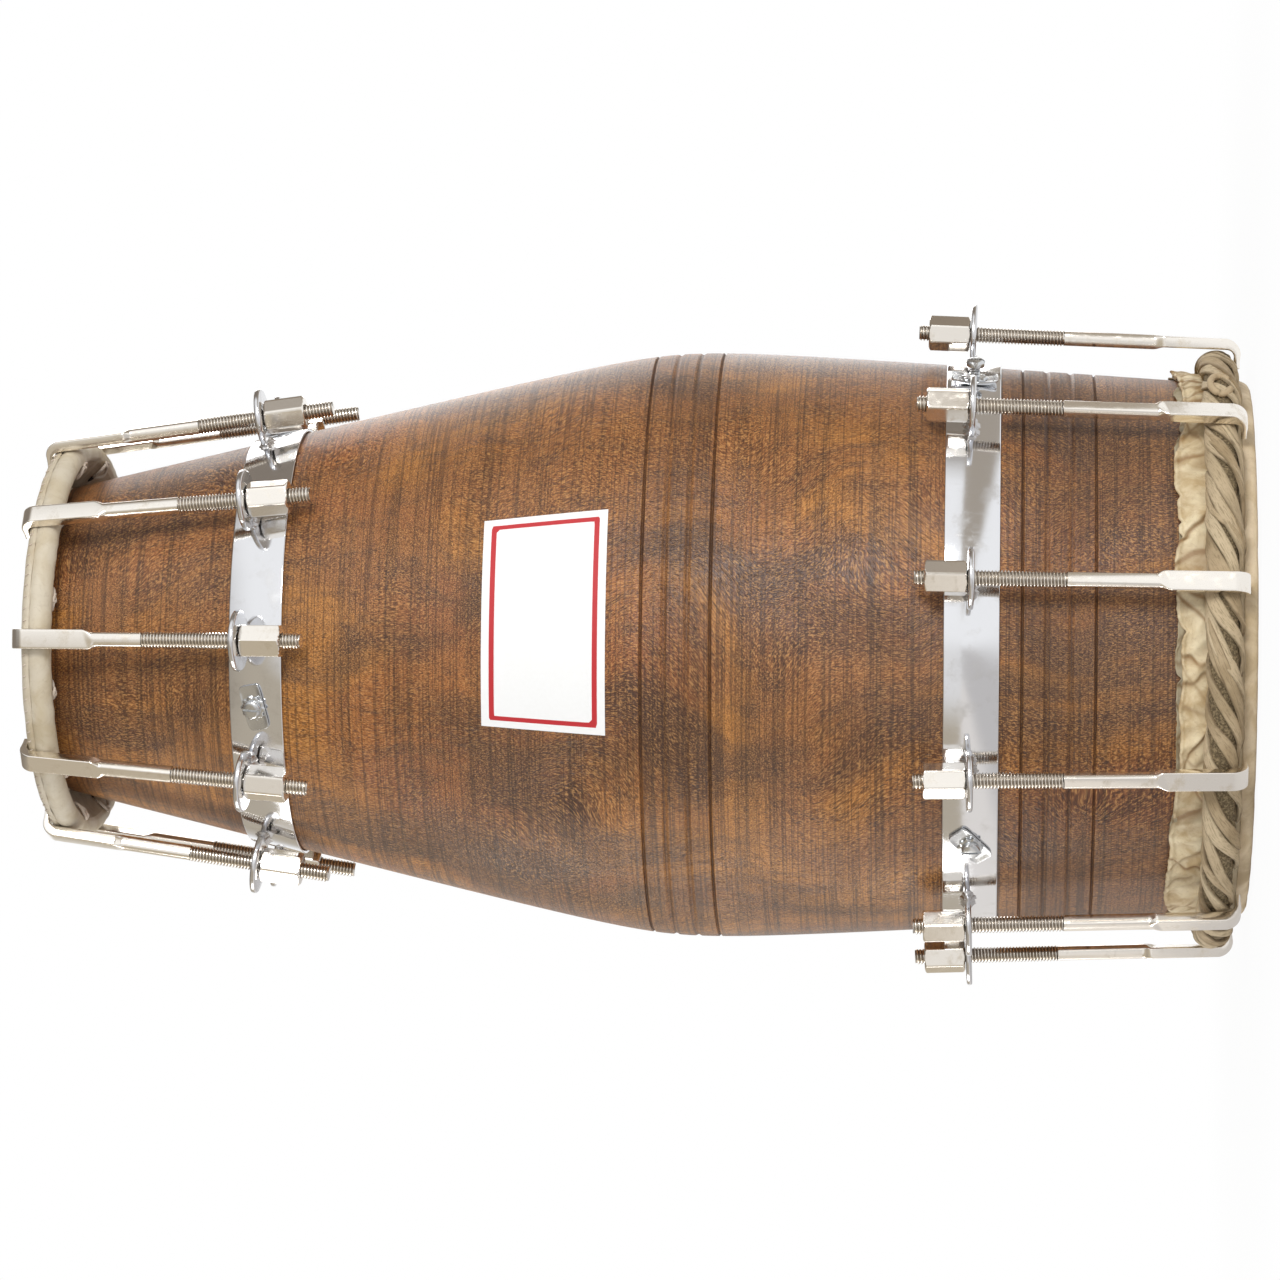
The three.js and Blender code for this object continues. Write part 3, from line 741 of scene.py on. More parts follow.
for head in stations:
    parts = [band_part(head)]
    parts += [eye_part(station) for station in stations[head]]
    parts += [weld_part(station, 10 + index) for index, station in enumerate(stations[head])]
    counts = [np.asarray(part[0]).size // 3 for part in parts]
    eyes = len(stations[head])
    dirt = np.repeat([0] + [eye_dirt] * eyes + [weld_dirt] * eyes, counts)
    belt = make_piece(f"belt_{head}_with_eyes", parts, "drum", chrome.material, sharp=40,
                      attributes={"root": dirt})
    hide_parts(f"belt_{head}")
    print(head, "belt:", len(belt.data.polygons), "faces")

# %% [markdown]
# ## Threads
# A screw thread is a V-shaped ridge wound round a rod. A grid whose rows ran straight up the rod would cut
# the ridge into teeth, so the rows follow the helix: each turn's last row is the next turn's first. The
# crest and the root have a small flat, and an envelope narrows both ends, where the die ran on and the file
# went round.

# %% Threaded rod
thread_radius = 3.175 * mm
thread_pitch = 25.4 / 20 * mm
thread_depth = 0.62 * mm
thread_neck = 2.7 * mm
thread_fade = 0.8 * mm
thread_steps = 24
thread_phases = np.array([0, 0.18, 0.52, 0.66])
thread_dips = np.array([0, 0, 1, 1])


def thread_part(start, end, radius=thread_radius, pitch=thread_pitch, depth=thread_depth, neck=thread_neck):
    """Rows along a helix: the radius is the crest's less each phase's dip, but stays in the envelope."""
    turns = int(np.ceil((end - start) / pitch)) + 2
    step = np.arange(thread_steps * turns + 1)[:, None]
    height = start + pitch * (step / thread_steps - 1 + thread_phases[None, :])
    inside = np.clip(height, start, end)
    from_end = np.minimum(inside - start, end - inside)
    envelope = neck + np.clip(from_end / thread_fade, 0, 1) * (radius - neck)
    distance = np.minimum(radius - depth * thread_dips, envelope)
    distance[:thread_steps + 1, 0] = 0
    distance[-thread_steps - 1:, -1] = 0
    points = around_drum(2 * np.pi * step / thread_steps, distance, inside)
    columns = len(thread_phases)
    root = np.broadcast_to(thread_dips, points.shape[:2]).ravel()
    within = grid_faces(len(step), columns)
    row = np.arange(len(step) - 1 - thread_steps)
    last, next_turn = row * columns + columns - 1, (row + thread_steps) * columns
    between = np.stack([last, last + columns, next_turn + columns, next_turn], -1)
    return points.reshape(-1, 3), np.concatenate([within, between]), root


print("thread:", round(2 * thread_radius / mm, 2), "mm across, pitch", round(thread_pitch / mm, 2), "mm")

# %% [markdown]
# ## Hooks
# A hook starts as a threaded rod. Past the thread its shank is a little squarish, and its end is forged
# into a thick flat bar, which is bent over the hoop. All of that is one section carried along a path: its
# depth, its width and its squareness change with the distance, it turns with the bend, and it thins out
# towards the lip.

# %% Hooks
lip_reach = 11 * mm
same_level = 0.05 * mm
bend_radius = {"treble": 2.4 * mm, "bass": 3.0 * mm}
bend_steps = 9
shank_half = 2.85 * mm
bar_face = 1.8 * mm
bar_depth = 4.4 * mm
tip_depth = 2.2 * mm
bar_width = 7.6 * mm
square_shank, square_bar = 3, 11
section_points = 36
shoulder_slant = 0.32
height_slack = 0.001 * mm
lip_rows = ((0.4, 1), (0.93, 0.97), (0.99, 0.85), (1, 0))


def lip_direction(station):
    """The lip lies on the hoop's face: straight in towards the axis, and tilted on the treble hoop."""
    inward = -np.array([np.cos(station["turn"]), np.sin(station["turn"]), 0])
    if station["head"] == "treble":
        inward[2] = -inward[1] * hoop_tilt
    return unit(inward)


def hook_heights(station):
    """Heights along the rod of the CAD hook: its end, then where thread, shank, shoulder and bar end."""
    node = frame["nodes"][f"hook_{station['head']}_{station['number']}"]
    corners = np.empty(len(node.data.vertices) * 3, np.float32)
    node.data.vertices.foreach_get("co", corners)
    along = np.sort((corners.reshape(-1, 3) - station["centre"]) @ station["axes"][2])
    levels = along[np.concatenate([[True], np.diff(along) > same_level])]
    return levels[0], levels[2], levels[3], levels[4], levels[5]


thread_cuts = {"treble": np.array([9, 8, 6, 8, 9.5, 1, 11.5, 10, 7, 8.5]) * mm,
               "bass": np.array([7, 6.5, 7, 6, 7, 6.5, 8, 7, 7.5, 6]) * mm}


def forged_part(station, levels):
    """Superellipses in rows; a row is its inner face, height, angle, depth, width and squareness."""
    _, thread_end, neck_start, bar_start, bend_start = levels
    radius = bend_radius[station["head"]]
    bend = np.arccos(np.clip(station["axes"][2] @ lip_direction(station), -1, 1))
    shank = 2 * shank_half
    rows = []
    for share in np.linspace(0, 1, 4):
        height = thread_end - 0.4 * mm + share * (neck_start - thread_end)
        rows.append((-shank_half, height, 0, shank, shank, square_shank))
    for place in np.linspace(0.1, 1, 12):
        share = smooth((place - 0.2) / 0.75)
        rows.append((-shank_half + share * (shank_half - bar_face),
                     neck_start + place * (bar_start - neck_start), 0,
                     shank + share * (bar_depth - shank), shank + share * (bar_width - shank),
                     square_shank + (square_bar - square_shank) * share))
    for share in np.linspace(0.1, 0.98, 6):
        height = bar_start + share * (bend_start - bar_start)
        rows.append((-bar_face, height, 0, bar_depth, bar_width, square_bar))
    for share in np.linspace(0, 1, bend_steps + 1):
        angle = bend * share
        depth = bar_depth + (tip_depth - bar_depth) * share * bend_steps / (bend_steps + 1)
        rows.append((-bar_face - radius + radius * np.cos(angle), bend_start + radius * np.sin(angle), angle,
                     depth, bar_width, square_bar))
    inner, top = rows[-1][:2]
    for share, shrink in lip_rows:
        reach = (lip_reach - 2 * bar_face - radius) * share
        rows.append((inner - reach * np.sin(bend), top + reach * np.cos(bend), bend,
                     tip_depth * shrink, bar_width * shrink, square_bar))
    inner, height, angle, depth, width, square = (np.array(column)[:, None] for column in zip(*rows))
    round_turn = once_round(section_points).T
    out = depth / 2 + depth / 2 * squarer(np.cos(round_turn), 2 / square)
    side = width / 2 * squarer(np.sin(round_turn), 2 / square)
    in_shoulder = (height > neck_start - height_slack) & (height < bar_start + height_slack)
    out = out + (tip_depth - depth) / 2 * (depth < tip_depth) * (angle > 0.1)
    points = np.stack([inner + out * np.cos(angle), side,
                       height + shoulder_slant * side * in_shoulder + out * np.sin(angle)], -1)
    return points, grid_faces(len(rows), section_points, ring_columns=True)


for head in stations:
    for station in stations[head]:
        levels = np.array(hook_heights(station))
        from_back = round(np.degrees(station["turn"]) / 36 + 7.5) % len(stations[head])
        levels[1] -= thread_cuts[head][from_back]
        rod, rod_faces, root = thread_part(levels[0], levels[1])
        bar, bar_faces = forged_part(station, levels)
        parts = [(at_station(station, rod), rod_faces), (at_station(station, bar), bar_faces)]
        name = f"{head}_{station['number']}"
        # the root attribute marks the thread's roots, where shade is painted
        hook = make_piece(f"forged_hook_{name}", parts, f"hook_{name}", nickel.material, sharp=38,
                          attributes={"root": np.concatenate([root, np.zeros(bar.size // 3)])})
        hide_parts(f"hook_{name}")
        print(name, "hook:", len(hook.data.polygons), "faces, levels", [round(x / mm, 1) for x in levels])

# %% [markdown]
# ## Nuts
# The nuts are long hexagons whose corners are turned off at both ends. A hexagon's radius is a formula of
# the turn, and a cone at each end cuts it: the smaller of the two wins at every point, which leaves the
# arched edge that every real nut has.

# %% Nuts
nut_length = 16 * mm
nut_flat = 6 * mm
nut_corner = 6.82 * mm
nut_bore = 3.3 * mm
nut_steps = 96
cone_start = 5.75 * mm
cone_slope = 1.6


def nut_part():
    """The radius is the hexagon's or the end cones', whichever is less; the bore closes the outline."""
    turn = once_round(nut_steps)
    hexagon = np.minimum(nut_flat / np.cos((turn % (np.pi / 3)) - np.pi / 6), nut_corner)
    top = -eye_thickness / 2 - seat_gap
    low = top - nut_length
    steps = np.array([0, 0.25, 0.5, 0.75, 1.0, 1.4]) * mm
    between = np.linspace(low + 3 * mm, top - 3 * mm, 3)
    height = np.concatenate([low + steps, between, (top - steps)[::-1]])[None, :]
    from_end = np.minimum(height - low, top - height)
    radius = np.minimum(hexagon, cone_start + from_end * cone_slope)
    bore = nut_bore + 0 * turn
    radius = np.concatenate([bore, radius, bore], 1)
    points = around_drum(turn, radius, np.concatenate([[[low]], height, [[top]]], 1))
    return points, grid_faces(*points.shape[:2], ring_rows=True, ring_columns=True)


nut_points, nut_faces = nut_part()
for head in stations:
    for station in stations[head]:
        name = f"nut_{head}_{station['number']}"
        nut = make_piece(f"long_{name}", [(at_station(station, nut_points), nut_faces)], name,
                         nickel.material, sharp=22)
        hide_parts(name)
print("nut:", len(nut.data.polygons), "faces")

# %% [markdown]
# ## Belt screws
# Slotted screws hold each belt to the wood between two eyes. Under each head lie a star washer with rounded
# lobes and a rectangular plate with round corners and a raised rim, bent to the belt's curve. One screw on
# the bass belt was never driven home, so its plate has sprung up and its thread shows. A slotted head is
# laid out in rows across the slot, because rows can have an edge exactly where the slot's walls are.

# %% Screws
screw_head_radius = 3.6 * mm
screw_head_height = 2.6 * mm
slot_share = 0.125
slot_depth = 1.2 * mm
star_radius = 5 * mm
star_lobes = 10
star_steps = 120
star_thickness = 0.9 * mm
plate_length = 18 * mm
plate_width = 8.6 * mm
plate_thickness = 1 * mm
plate_steps = 96
corner_power = 0.3
screw_stack = seat_gap + belt_thickness + seat_gap
loose_thread = {"radius": 2 * mm, "pitch": 1.1 * mm, "depth": 0.45 * mm, "neck": 1.6 * mm}


def pan_head_part(base):
    """Rows of chords across a disc: the height is a flat dome of the distance, and lower in the slot."""
    slot_walls = np.repeat([-slot_share, slot_share], 2)
    rows = np.concatenate([np.linspace(-1, -0.16, 9), slot_walls, np.linspace(0.16, 1, 9)])
    across = rows[:, None] * screw_head_radius
    half_chord = np.sqrt(np.clip(screw_head_radius ** 2 - across ** 2, 0, None))
    columns = np.concatenate([[-1], np.linspace(-1, 1, 15), [1]])[None, :]
    along = columns * half_chord
    distance = np.hypot(across, along) / screw_head_radius
    height = base + screw_head_height * (0.5 + 0.5 * np.sqrt(np.clip(1 - 0.94 * distance ** 4, 0, 1)))
    in_slot = np.zeros(len(rows), bool)
    in_slot[10:12] = True
    height = np.where(in_slot[:, None], base + screw_head_height - slot_depth, height)
    height[:, 0] = height[:, -1] = base
    height[0], height[-1] = base, base
    points = np.stack([along, across + 0 * along, height], -1)
    return points, grid_faces(*points.shape[:2])


def star_part(base):
    """A washer whose rim swings in and out once for each lobe, and which slopes down to its edge."""
    turn = once_round(star_steps)
    rim = star_radius * (0.93 + 0.07 * np.cos(star_lobes * turn))
    shares = np.array([0.42, 0.42, 0.7, 0.92, 0.99, 1.0, 0.97])[None, :]
    lifts = np.array([0, 1, 1, 0.92, 0.7, 0.35, 0])[None, :] * star_thickness
    points = around_drum(turn, rim * shares, base + lifts)
    return points, grid_faces(*points.shape[:2], ring_rows=True, ring_columns=True)


def plate_part(base, plate_turn, belt_bend, spring=0.0):
    """A superellipse with a raised rim; it sags as a parabola to the belt, and may spring up at its ends."""
    turn = once_round(plate_steps)
    edge_along = plate_length / 2 * squarer(np.sin(turn), corner_power)
    edge_across = plate_width / 2 * squarer(np.cos(turn), corner_power)
    shares = np.array([0.0, 0.3, 0.6, 0.82, 0.92, 0.98, 1.0, 1.0, 0.96, 0.6, 0.3, 0.0])[None, :]
    top = np.array([1, 1, 1, 1, 1.25, 1.25, 1.0, 0.3, 0, 0, 0, 0])[None, :] * plate_thickness
    along, across = edge_along * shares, edge_across * shares
    cosine, sine = np.cos(plate_turn), np.sin(plate_turn)
    side, up_drum = along * cosine - across * sine, along * sine + across * cosine
    sag = -side ** 2 / (2 * belt_bend) + spring * (along / (plate_length / 2)) ** 2
    points = np.stack([up_drum, side, base + top + sag], -1)
    return points, grid_faces(*points.shape[:2], ring_rows=True)


def screw_axes(head, spaces):
    """Midway between two stations, square to the belt: down the taper, sideways and out from the wood."""
    first, second = (stations[head][index % len(stations[head])]["turn"] for index in (spaces, spaces + 1))
    turn = np.arctan2(np.sin(first) + np.sin(second), np.cos(first) + np.cos(second))
    height = belt_heights[head]
    low, high = shell_radius(height - belt_width / 2), shell_radius(height + belt_width / 2)
    slope = np.arctan2(high - low, belt_width)
    radial, up = np.array([np.cos(turn), np.sin(turn), 0]), np.array([0, 0, 1])
    outward = np.cos(slope) * radial - np.sin(slope) * up
    along = -np.sin(slope) * radial - np.cos(slope) * up
    return {"centre": float(shell_radius(height)) * radial + height * up,
            "axes": np.stack([along, np.cross(outward, along), outward])}


screws = [("treble", 1, 0, -14, 0), ("treble", 2, 3, -20, 0), ("treble", 3, 7, 30, 0),
          ("bass", 1, 1, -38, 0), ("bass", 2, 4, -12, 0), ("bass", 3, 8, 90, 4.5 * mm)]
for head, number, spaces, plate_turn, lift in screws:
    seat = screw_axes(head, spaces)
    washer = screw_stack + plate_thickness
    bend = float(shell_radius(belt_heights[head]))
    parts = [plate_part(screw_stack, np.radians(plate_turn), bend, spring=0.25 * lift),
             star_part(washer), pan_head_part(washer + star_thickness + lift)]
    if lift:
        under_head = washer + star_thickness + lift + 0.4 * mm
        parts.append(thread_part(screw_stack, under_head, **loose_thread)[:2])
    parts = [(at_station(seat, points), faces) for points, faces in parts]
    name = f"belt_screw_{head}_{number}"
    screw = make_piece(f"slotted_{name}", parts, "drum", zinc.material, sharp=40)
    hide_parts(name)
print("screw:", len(screw.data.polygons), "faces")

# %% [markdown]
# ## Skins
# Goat skin dries to a translucent cream with cloudy patches. The roll of the treble head is mottled and
# shiny from handling, and the parchment skirt of the bass head is thinner, with golden-brown shade painted
# into its creases and hollows. One function makes these skins, and each gets its own pair of colours and
# its own depth of crinkle.


# %% Skin finishes
def skin_finish(name, light, deep, stain_and_shade, size, crinkle, rough):
    """Two tones by a broad noise, stained where a finer noise is high, darkened where the crease attribute is
    high, which is painted shade on the skirt, and finely crinkled.
    """
    finish = Finish(name, roughness=rough)
    cloud = finish.noise(size, detail=4, roughness=0.6, distortion=0.6)
    fibre = finish.noise(2.2 * mm, detail=5, roughness=0.7, distortion=1.0)
    crease = finish.attribute("crease")
    # the crease attribute darkens towards the stain colour; on the skirt that is painted shade
    finish.give("Base Color", finish.layered(light, (cloud.within(0.35, 0.7), deep),
                                             (fibre.within(0.5, 0.8) * 0.35, stain_and_shade), (crease * 0.8, stain_and_shade)))
    finish.give("Roughness", rough + 0.15 * fibre)
    finish.bump(fibre * 0.6 + cloud, crinkle, 0.6)
    return finish


roll_skin = skin_finish("roll_skin", srgb(210, 199, 178), srgb(194, 178, 148), srgb(152, 130, 98),
                        16 * mm, 0.12 * mm, 0.5)
flange_skin = skin_finish("flange_skin", srgb(196, 178, 154), srgb(168, 150, 126), srgb(126, 108, 88),
                          9 * mm, 0.2 * mm, 0.6)
face_skin = skin_finish("face_skin", srgb(228, 212, 182), srgb(208, 188, 150), srgb(170, 140, 98),
                        16 * mm, 0.18 * mm, 0.55)
bass_rim_finish = skin_finish("bass_rim", srgb(244, 226, 196), srgb(218, 196, 158), srgb(172, 142, 102),
                              10 * mm, 0.25 * mm, 0.55)
# the skirt's third colour is its stain and the painted shade of its creases and hollows
skirt_skin = skin_finish("skirt_skin", srgb(234, 218, 182), srgb(194, 168, 124), srgb(138, 100, 54),
                         12 * mm, 0.4 * mm, 0.5)
# the lower skirt layer is painted greyer and darker as shade, since it lies under the upper one
shaded_under_skin = skin_finish("shaded_under_skin", srgb(186, 174, 148), srgb(160, 146, 116), srgb(124, 98, 60),
                         8 * mm, 0.3 * mm, 0.7)
print("skins:", [finish.material.name for finish in (
    roll_skin, flange_skin, face_skin, bass_rim_finish, skirt_skin, shaded_under_skin)])

# %% [markdown]
# ## Treble head
# The skin runs from the shell's mouth out and back to a steel hoop, round the hoop, and to the front again.
# The hoop was pulled on a little crooked, so everything outside the mouth is tipped by four degrees: the
# height drops with the distance towards the back. The flange between the mouth and the roll is drawn into
# radial wrinkles by the lacing, and the roll is uneven where the skin was lapped.

# %% Treble roll and face
treble_hoop = treble_edge + 13.8 * mm
treble_hoop_height = shell_top - 5.8 * mm
roll_radius = 4.7 * mm
roll_start, roll_end, roll_points = -112, 150, 34
full_tilt = (treble_edge + treble_hoop) / 2
flange_edge = 71.2 * mm
flange_points = 12
flange_lumps, roll_lumps, back_lumps = 0.4 * mm, 0.13 * mm, 0.05 * mm
roll_steps = 480
face_steps, face_points = 160, 26
face_overhang, face_droop = 0.4 * mm, 0.25 * mm


def tipped(points):
    """A point's height falls with its y by the hoop's tilt, which fades in over half the flange."""
    points = np.array(points, float)
    radius = np.hypot(points[..., 0], points[..., 1])
    share = smooth((radius - treble_edge) / (full_tilt - treble_edge))
    points[..., 2] -= points[..., 1] * hoop_tilt * share
    return points


def wrinkled_ring(radii, heights, steps, depth, waves, seed):
    """An outline turned about the axis, whose points a ripple of the given depths moves along its normals."""
    radii, heights, depth = (np.asarray(values, float)[None, :] for values in (radii, heights, depth))
    turn = once_round(steps)
    step_out = np.gradient(radii, axis=1)
    step_up = np.gradient(heights, axis=1)
    length = np.maximum(np.hypot(step_out, step_up), 1e-9)
    move = depth * ripple(turn, heights / mm, waves, seed, tall=0.25)
    points = around_drum(turn, radii + move * step_up / length, heights - move * step_out / length)
    return points, grid_faces(steps, radii.shape[1], ring_rows=True, ring_columns=True)


flange_top = shell_top + seat_gap
roll_turn = np.radians(np.linspace(roll_start, roll_end, roll_points))
roll_out = treble_hoop + roll_radius * np.cos(roll_turn)
roll_up = treble_hoop_height + roll_radius * np.sin(roll_turn)
flange_start = treble_edge + 0.7 * mm
flange_share = np.linspace(0, 1, flange_points)
flange_out = flange_start + (roll_out[0] - flange_start) * flange_share
flange_up = flange_top + (roll_up[0] - flange_top) * flange_share
back_out = np.array([69.0 * mm, 65.5 * mm, 62.0 * mm, treble_edge])
back_up = np.array([treble_hoop_height + 3.0 * mm, shell_top - 1.2 * mm,
                    flange_top + 1.2 * mm, flange_top + skin_thick])
ring_out = np.concatenate([flange_out, roll_out[1:], back_out])
ring_up = np.concatenate([flange_up, roll_up[1:], back_up])
ring_depth = np.concatenate([flange_lumps * np.sin(np.pi * np.clip(flange_share * 1.1, 0, 1)),
                             np.full(len(roll_turn) - 1, roll_lumps), np.full(len(back_out), back_lumps)])
points, faces = wrinkled_ring(ring_out, ring_up, roll_steps, ring_depth, (18, 70), 3)
crease = np.tile(0.25 * (np.arange(len(ring_out)) < flange_points), roll_steps)
roll = make_piece("treble_roll", [(tipped(points), faces)], "drum", roll_skin.material, sharp=60,
                  attributes={"crease": crease})
roll.data.materials.append(flange_skin.material)
middle_out = np.array([np.hypot(*polygon.center[:2]) for polygon in roll.data.polygons])
normal_up = np.array([polygon.normal.z for polygon in roll.data.polygons])
on_flange = (middle_out < flange_edge) & (normal_up < 0)
roll.data.polygons.foreach_set("material_index", on_flange.astype(np.int32))
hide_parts("skin_treble")

face_radii = np.linspace(0, treble_edge + face_overhang, face_points)
face_top = flange_top + skin_thick - face_droop * (face_radii / treble_edge) ** 6
face_outline = np.concatenate([face_radii, face_radii[::-1]])
face_levels = np.concatenate([face_top, flange_top + 0 * face_radii])
face = make_piece("treble_face", [turn_round(face_outline, face_levels, face_steps)], "drum",
                  face_skin.material, attributes={"crease": np.zeros(face_steps * len(face_outline))})
print("treble roll:", len(roll.data.polygons), "faces, hoop tilt",
      round(float(np.degrees(np.arctan(hoop_tilt))), 2))

# %% Rim skin and its stitches
rim_low = treble_hoop_height + roll_radius + seat_gap
rim_face = flange_top + skin_thick + seat_gap
rim_steps = 360
rim_out = np.array([41, 61, 66, 70.8, 73.7, 75.4, 76.6, 77.5, 77.8,
                    77.3, 75.9, 74.2, 70.8, 66, 60, 48, 41.4, 41]) * mm
rim_up = np.array([0, 0, -1.3, 0, 0, -0.4, -1.1, -2.0, -1.3,
                   0.1, 1.2, 1.6, 1.6, 0, 1.6, 1.6, 1.5, 0.8]) * mm
rim_on_shell, rim_fold = 61.5 * mm, 77 * mm
rim_lumps = 0.08 * mm
rim_up += np.where(rim_out < rim_on_shell, rim_face, rim_low)
rim_up[[2, 13]] = [rim_face - 1.3 * mm, rim_face + 0.2 * mm]
points, faces = wrinkled_ring(rim_out, rim_up, rim_steps, np.full(len(rim_out), rim_lumps), (12, 50), 8)
rim_crease = np.tile((rim_out > rim_fold) * 0.12, rim_steps)
rim = make_piece("treble_rim_skin", [(tipped(points), faces)], "drum", roll_skin.material, sharp=60,
                 attributes={"crease": rim_crease})
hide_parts("rim_skin_treble")


tube_guide = np.array([0.13, 0.21, 0.97])


def tube_part(path, radius, around=8):
    """A round tube along a path: its ends are drawn together, and its rings stay square to the path."""
    forward = unit(np.gradient(path, axis=0))
    side = unit(np.cross(forward, tube_guide))
    over = np.cross(side, forward)
    thick = np.full(len(path), radius)
    thick[[0, -1]] = 0
    angle = once_round(around)[None]
    ring = np.cos(angle) * side[:, None] + np.sin(angle) * over[:, None]
    return path[:, None] + thick[:, None, None] * ring, grid_faces(len(path), around, ring_columns=True)


cord_finish = Finish("lacing_cord", roughness=0.8)
cord_cloud = cord_finish.noise(1.4 * mm, detail=4, roughness=0.6)
cord_finish.give("Base Color", cord_finish.mix(cord_cloud, srgb(226, 214, 200), srgb(176, 158, 140)))
cord_finish.bump(cord_cloud, 0.25 * mm, 0.6)

stitch_count = 110
stitch_radius = 0.28 * mm
stitch_share = np.array([0, 0.1, 0.35, 0.65, 0.9, 1])
stitch_start, stitch_bow = 76.0 * mm, 1.7 * mm
stitch_rise, stitch_drop = 0.75 * mm, 2.1 * mm
stitch_out = stitch_start + stitch_bow * np.sin(np.pi * (0.17 + 0.75 * stitch_share))
stitch_up = rim_low + stitch_rise - stitch_drop * stitch_share
stitches = []
for index in range(stitch_count):
    turn = 2 * np.pi * index / stitch_count + 0.006 * np.sin(7.1 * index)
    path = around_drum(turn + 0.016 * stitch_share, stitch_out, stitch_up)
    stitches.append(tube_part(tipped(path), stitch_radius, around=6))
stitch_ring = make_piece("rim_stitches", stitches, "drum", cord_finish.material)
print("rim skin:", len(rim.data.polygons), "faces, stitches:", len(stitch_ring.data.polygons))

# %% [markdown]
# ## Lacing behind the roll
# Twelve points of cord tie the roll to the flange. At each one two strands come out of a hole in the flange,
# run outwards in a bow to the back of the roll and end there in a small knot. They are tubes along short
# arcs; no two are alike, because they were tied by hand.

# %% Laces
lace_count = 12
lace_radius = 0.62 * mm
knot_radius = 0.6 * mm
lace_start, lace_reach = 66.4 * mm, 5.6 * mm
lace_ends, lace_bow = 0.5 * mm, 1.2 * mm
knot_place, knot_width = 71.4 * mm, 1.0 * mm
knot_depth, knot_twist = 0.6 * mm, 0.25 * mm
hole_place, hole_width, hole_inset = 66.2 * mm, 1.2 * mm, 0.2 * mm
lace_share = np.linspace(0, 1, 12)
lace_out = lace_start + lace_reach * lace_share
lace_lift = lace_ends + lace_bow * np.sin(np.pi * lace_share)
knot_round = np.linspace(0, 2 * np.pi * 1.6, 22)
knot_out = knot_place + knot_width * np.sin(knot_round)
knot_up = roll_up[0] - knot_depth - knot_twist * np.sin(2 * knot_round)
hole_round = once_round(14)
hole_share = np.array([0.0, 1.0, 1.15])[None, :]
hole_sink = np.array([0.3, 0.42, 0.0])[None, :] * mm
hole_out = hole_place + hole_width * hole_share * np.cos(hole_round)


def flange_line(radius):
    """The height on the straight line that the flange follows from the shell's mouth to the roll."""
    share = (radius - flange_out[0]) / (roll_out[0] - flange_out[0])
    return flange_up[0] + (roll_up[0] - flange_up[0]) * share


laces, holes = [], []
for index in range(lace_count):
    chance = np.random.default_rng(40 + index)
    middle_turn = np.radians(-90 + 12 + 360 * index / lace_count) + chance.uniform(-0.03, 0.03)
    for side in (-1, 1):
        swing = side * (0.035 + 0.02 * chance.random()) * np.sin(np.pi * lace_share) + side * 0.012
        path = around_drum(middle_turn + swing, lace_out - 0.6 * lace_lift,
                           flange_line(lace_out) - 0.75 * lace_lift)
        laces.append(tube_part(tipped(path), lace_radius))
    path = around_drum(middle_turn + 0.022 * np.cos(knot_round), knot_out, knot_up)
    laces.append(tube_part(tipped(path), knot_radius))
    hole = around_drum(middle_turn + 0.02 * hole_share * np.sin(hole_round), hole_out - hole_inset,
                       flange_line(hole_out) - hole_sink)
    holes.append((tipped(hole), grid_faces(*hole.shape[:2], ring_rows=True)))
lacing = make_piece("treble_lacing", laces, "drum", cord_finish.material)

shade = Finish("hole_shade", roughness=0.95)
shade.give("Base Color", shade.mix(shade.noise(1 * mm), srgb(34, 26, 20), srgb(52, 40, 30)))
lace_holes = make_piece("lace_holes", holes, "drum", shade.material)
print("lacing:", len(lacing.data.polygons), "faces")

# %% [markdown]
# ## Tuning paste
# The black spot on the treble skin is iron powder and starch, rubbed on in many thin layers, each a little
# smaller than the last. It is matt and very finely cracked. The one inside the bass skin is a soft brown
# cake, and like the two hoops it keeps the CAD model's shape and only gets a finish.

# %% Pastes
paste = Finish("black_paste", roughness=0.6)
cracks = paste.node("ShaderNodeTexVoronoi", {"feature": "DISTANCE_TO_EDGE"}, {
    "Vector": paste.place(), "Scale": 1 / (2.2 * mm)})
rub = paste.noise(5 * mm, detail=4)
rubbed = paste.mix(rub, srgb(38, 36, 36), srgb(58, 55, 52))
paste.give("Base Color", paste.mix(cracks.within(0.0, 0.07), srgb(10, 9, 8), rubbed))
paste.give("Roughness", 0.5 + 0.25 * rub)
paste.bump(cracks.within(0.0, 0.09), 0.12 * mm, 0.7)

paste_radius = treble_edge - 28.9 * mm
paste_height = 1.15 * mm
paste_layers = 8
paste_seat, paste_under, paste_crown = 0.25 * mm, 1.6 * mm, 0.05 * mm
layer_edge = np.repeat(1 - 0.06 * np.arange(paste_layers), 2) * paste_radius
layer_level = np.repeat(np.arange(paste_layers + 1), 2)[1:-1] * paste_height / paste_layers
layer_level = flange_top + skin_thick + paste_seat + layer_level
spot_out = np.concatenate([[0], layer_edge, [0]])
spot_up = np.concatenate([[flange_top + paste_under], layer_level, [layer_level[-1] + paste_crown]])
spot_steps = 128
spot = make_piece("tuning_spot", [turn_round(spot_out, spot_up, spot_steps)], "drum", paste.material,
                  sharp=60)
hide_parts("tuning_paste_treble")

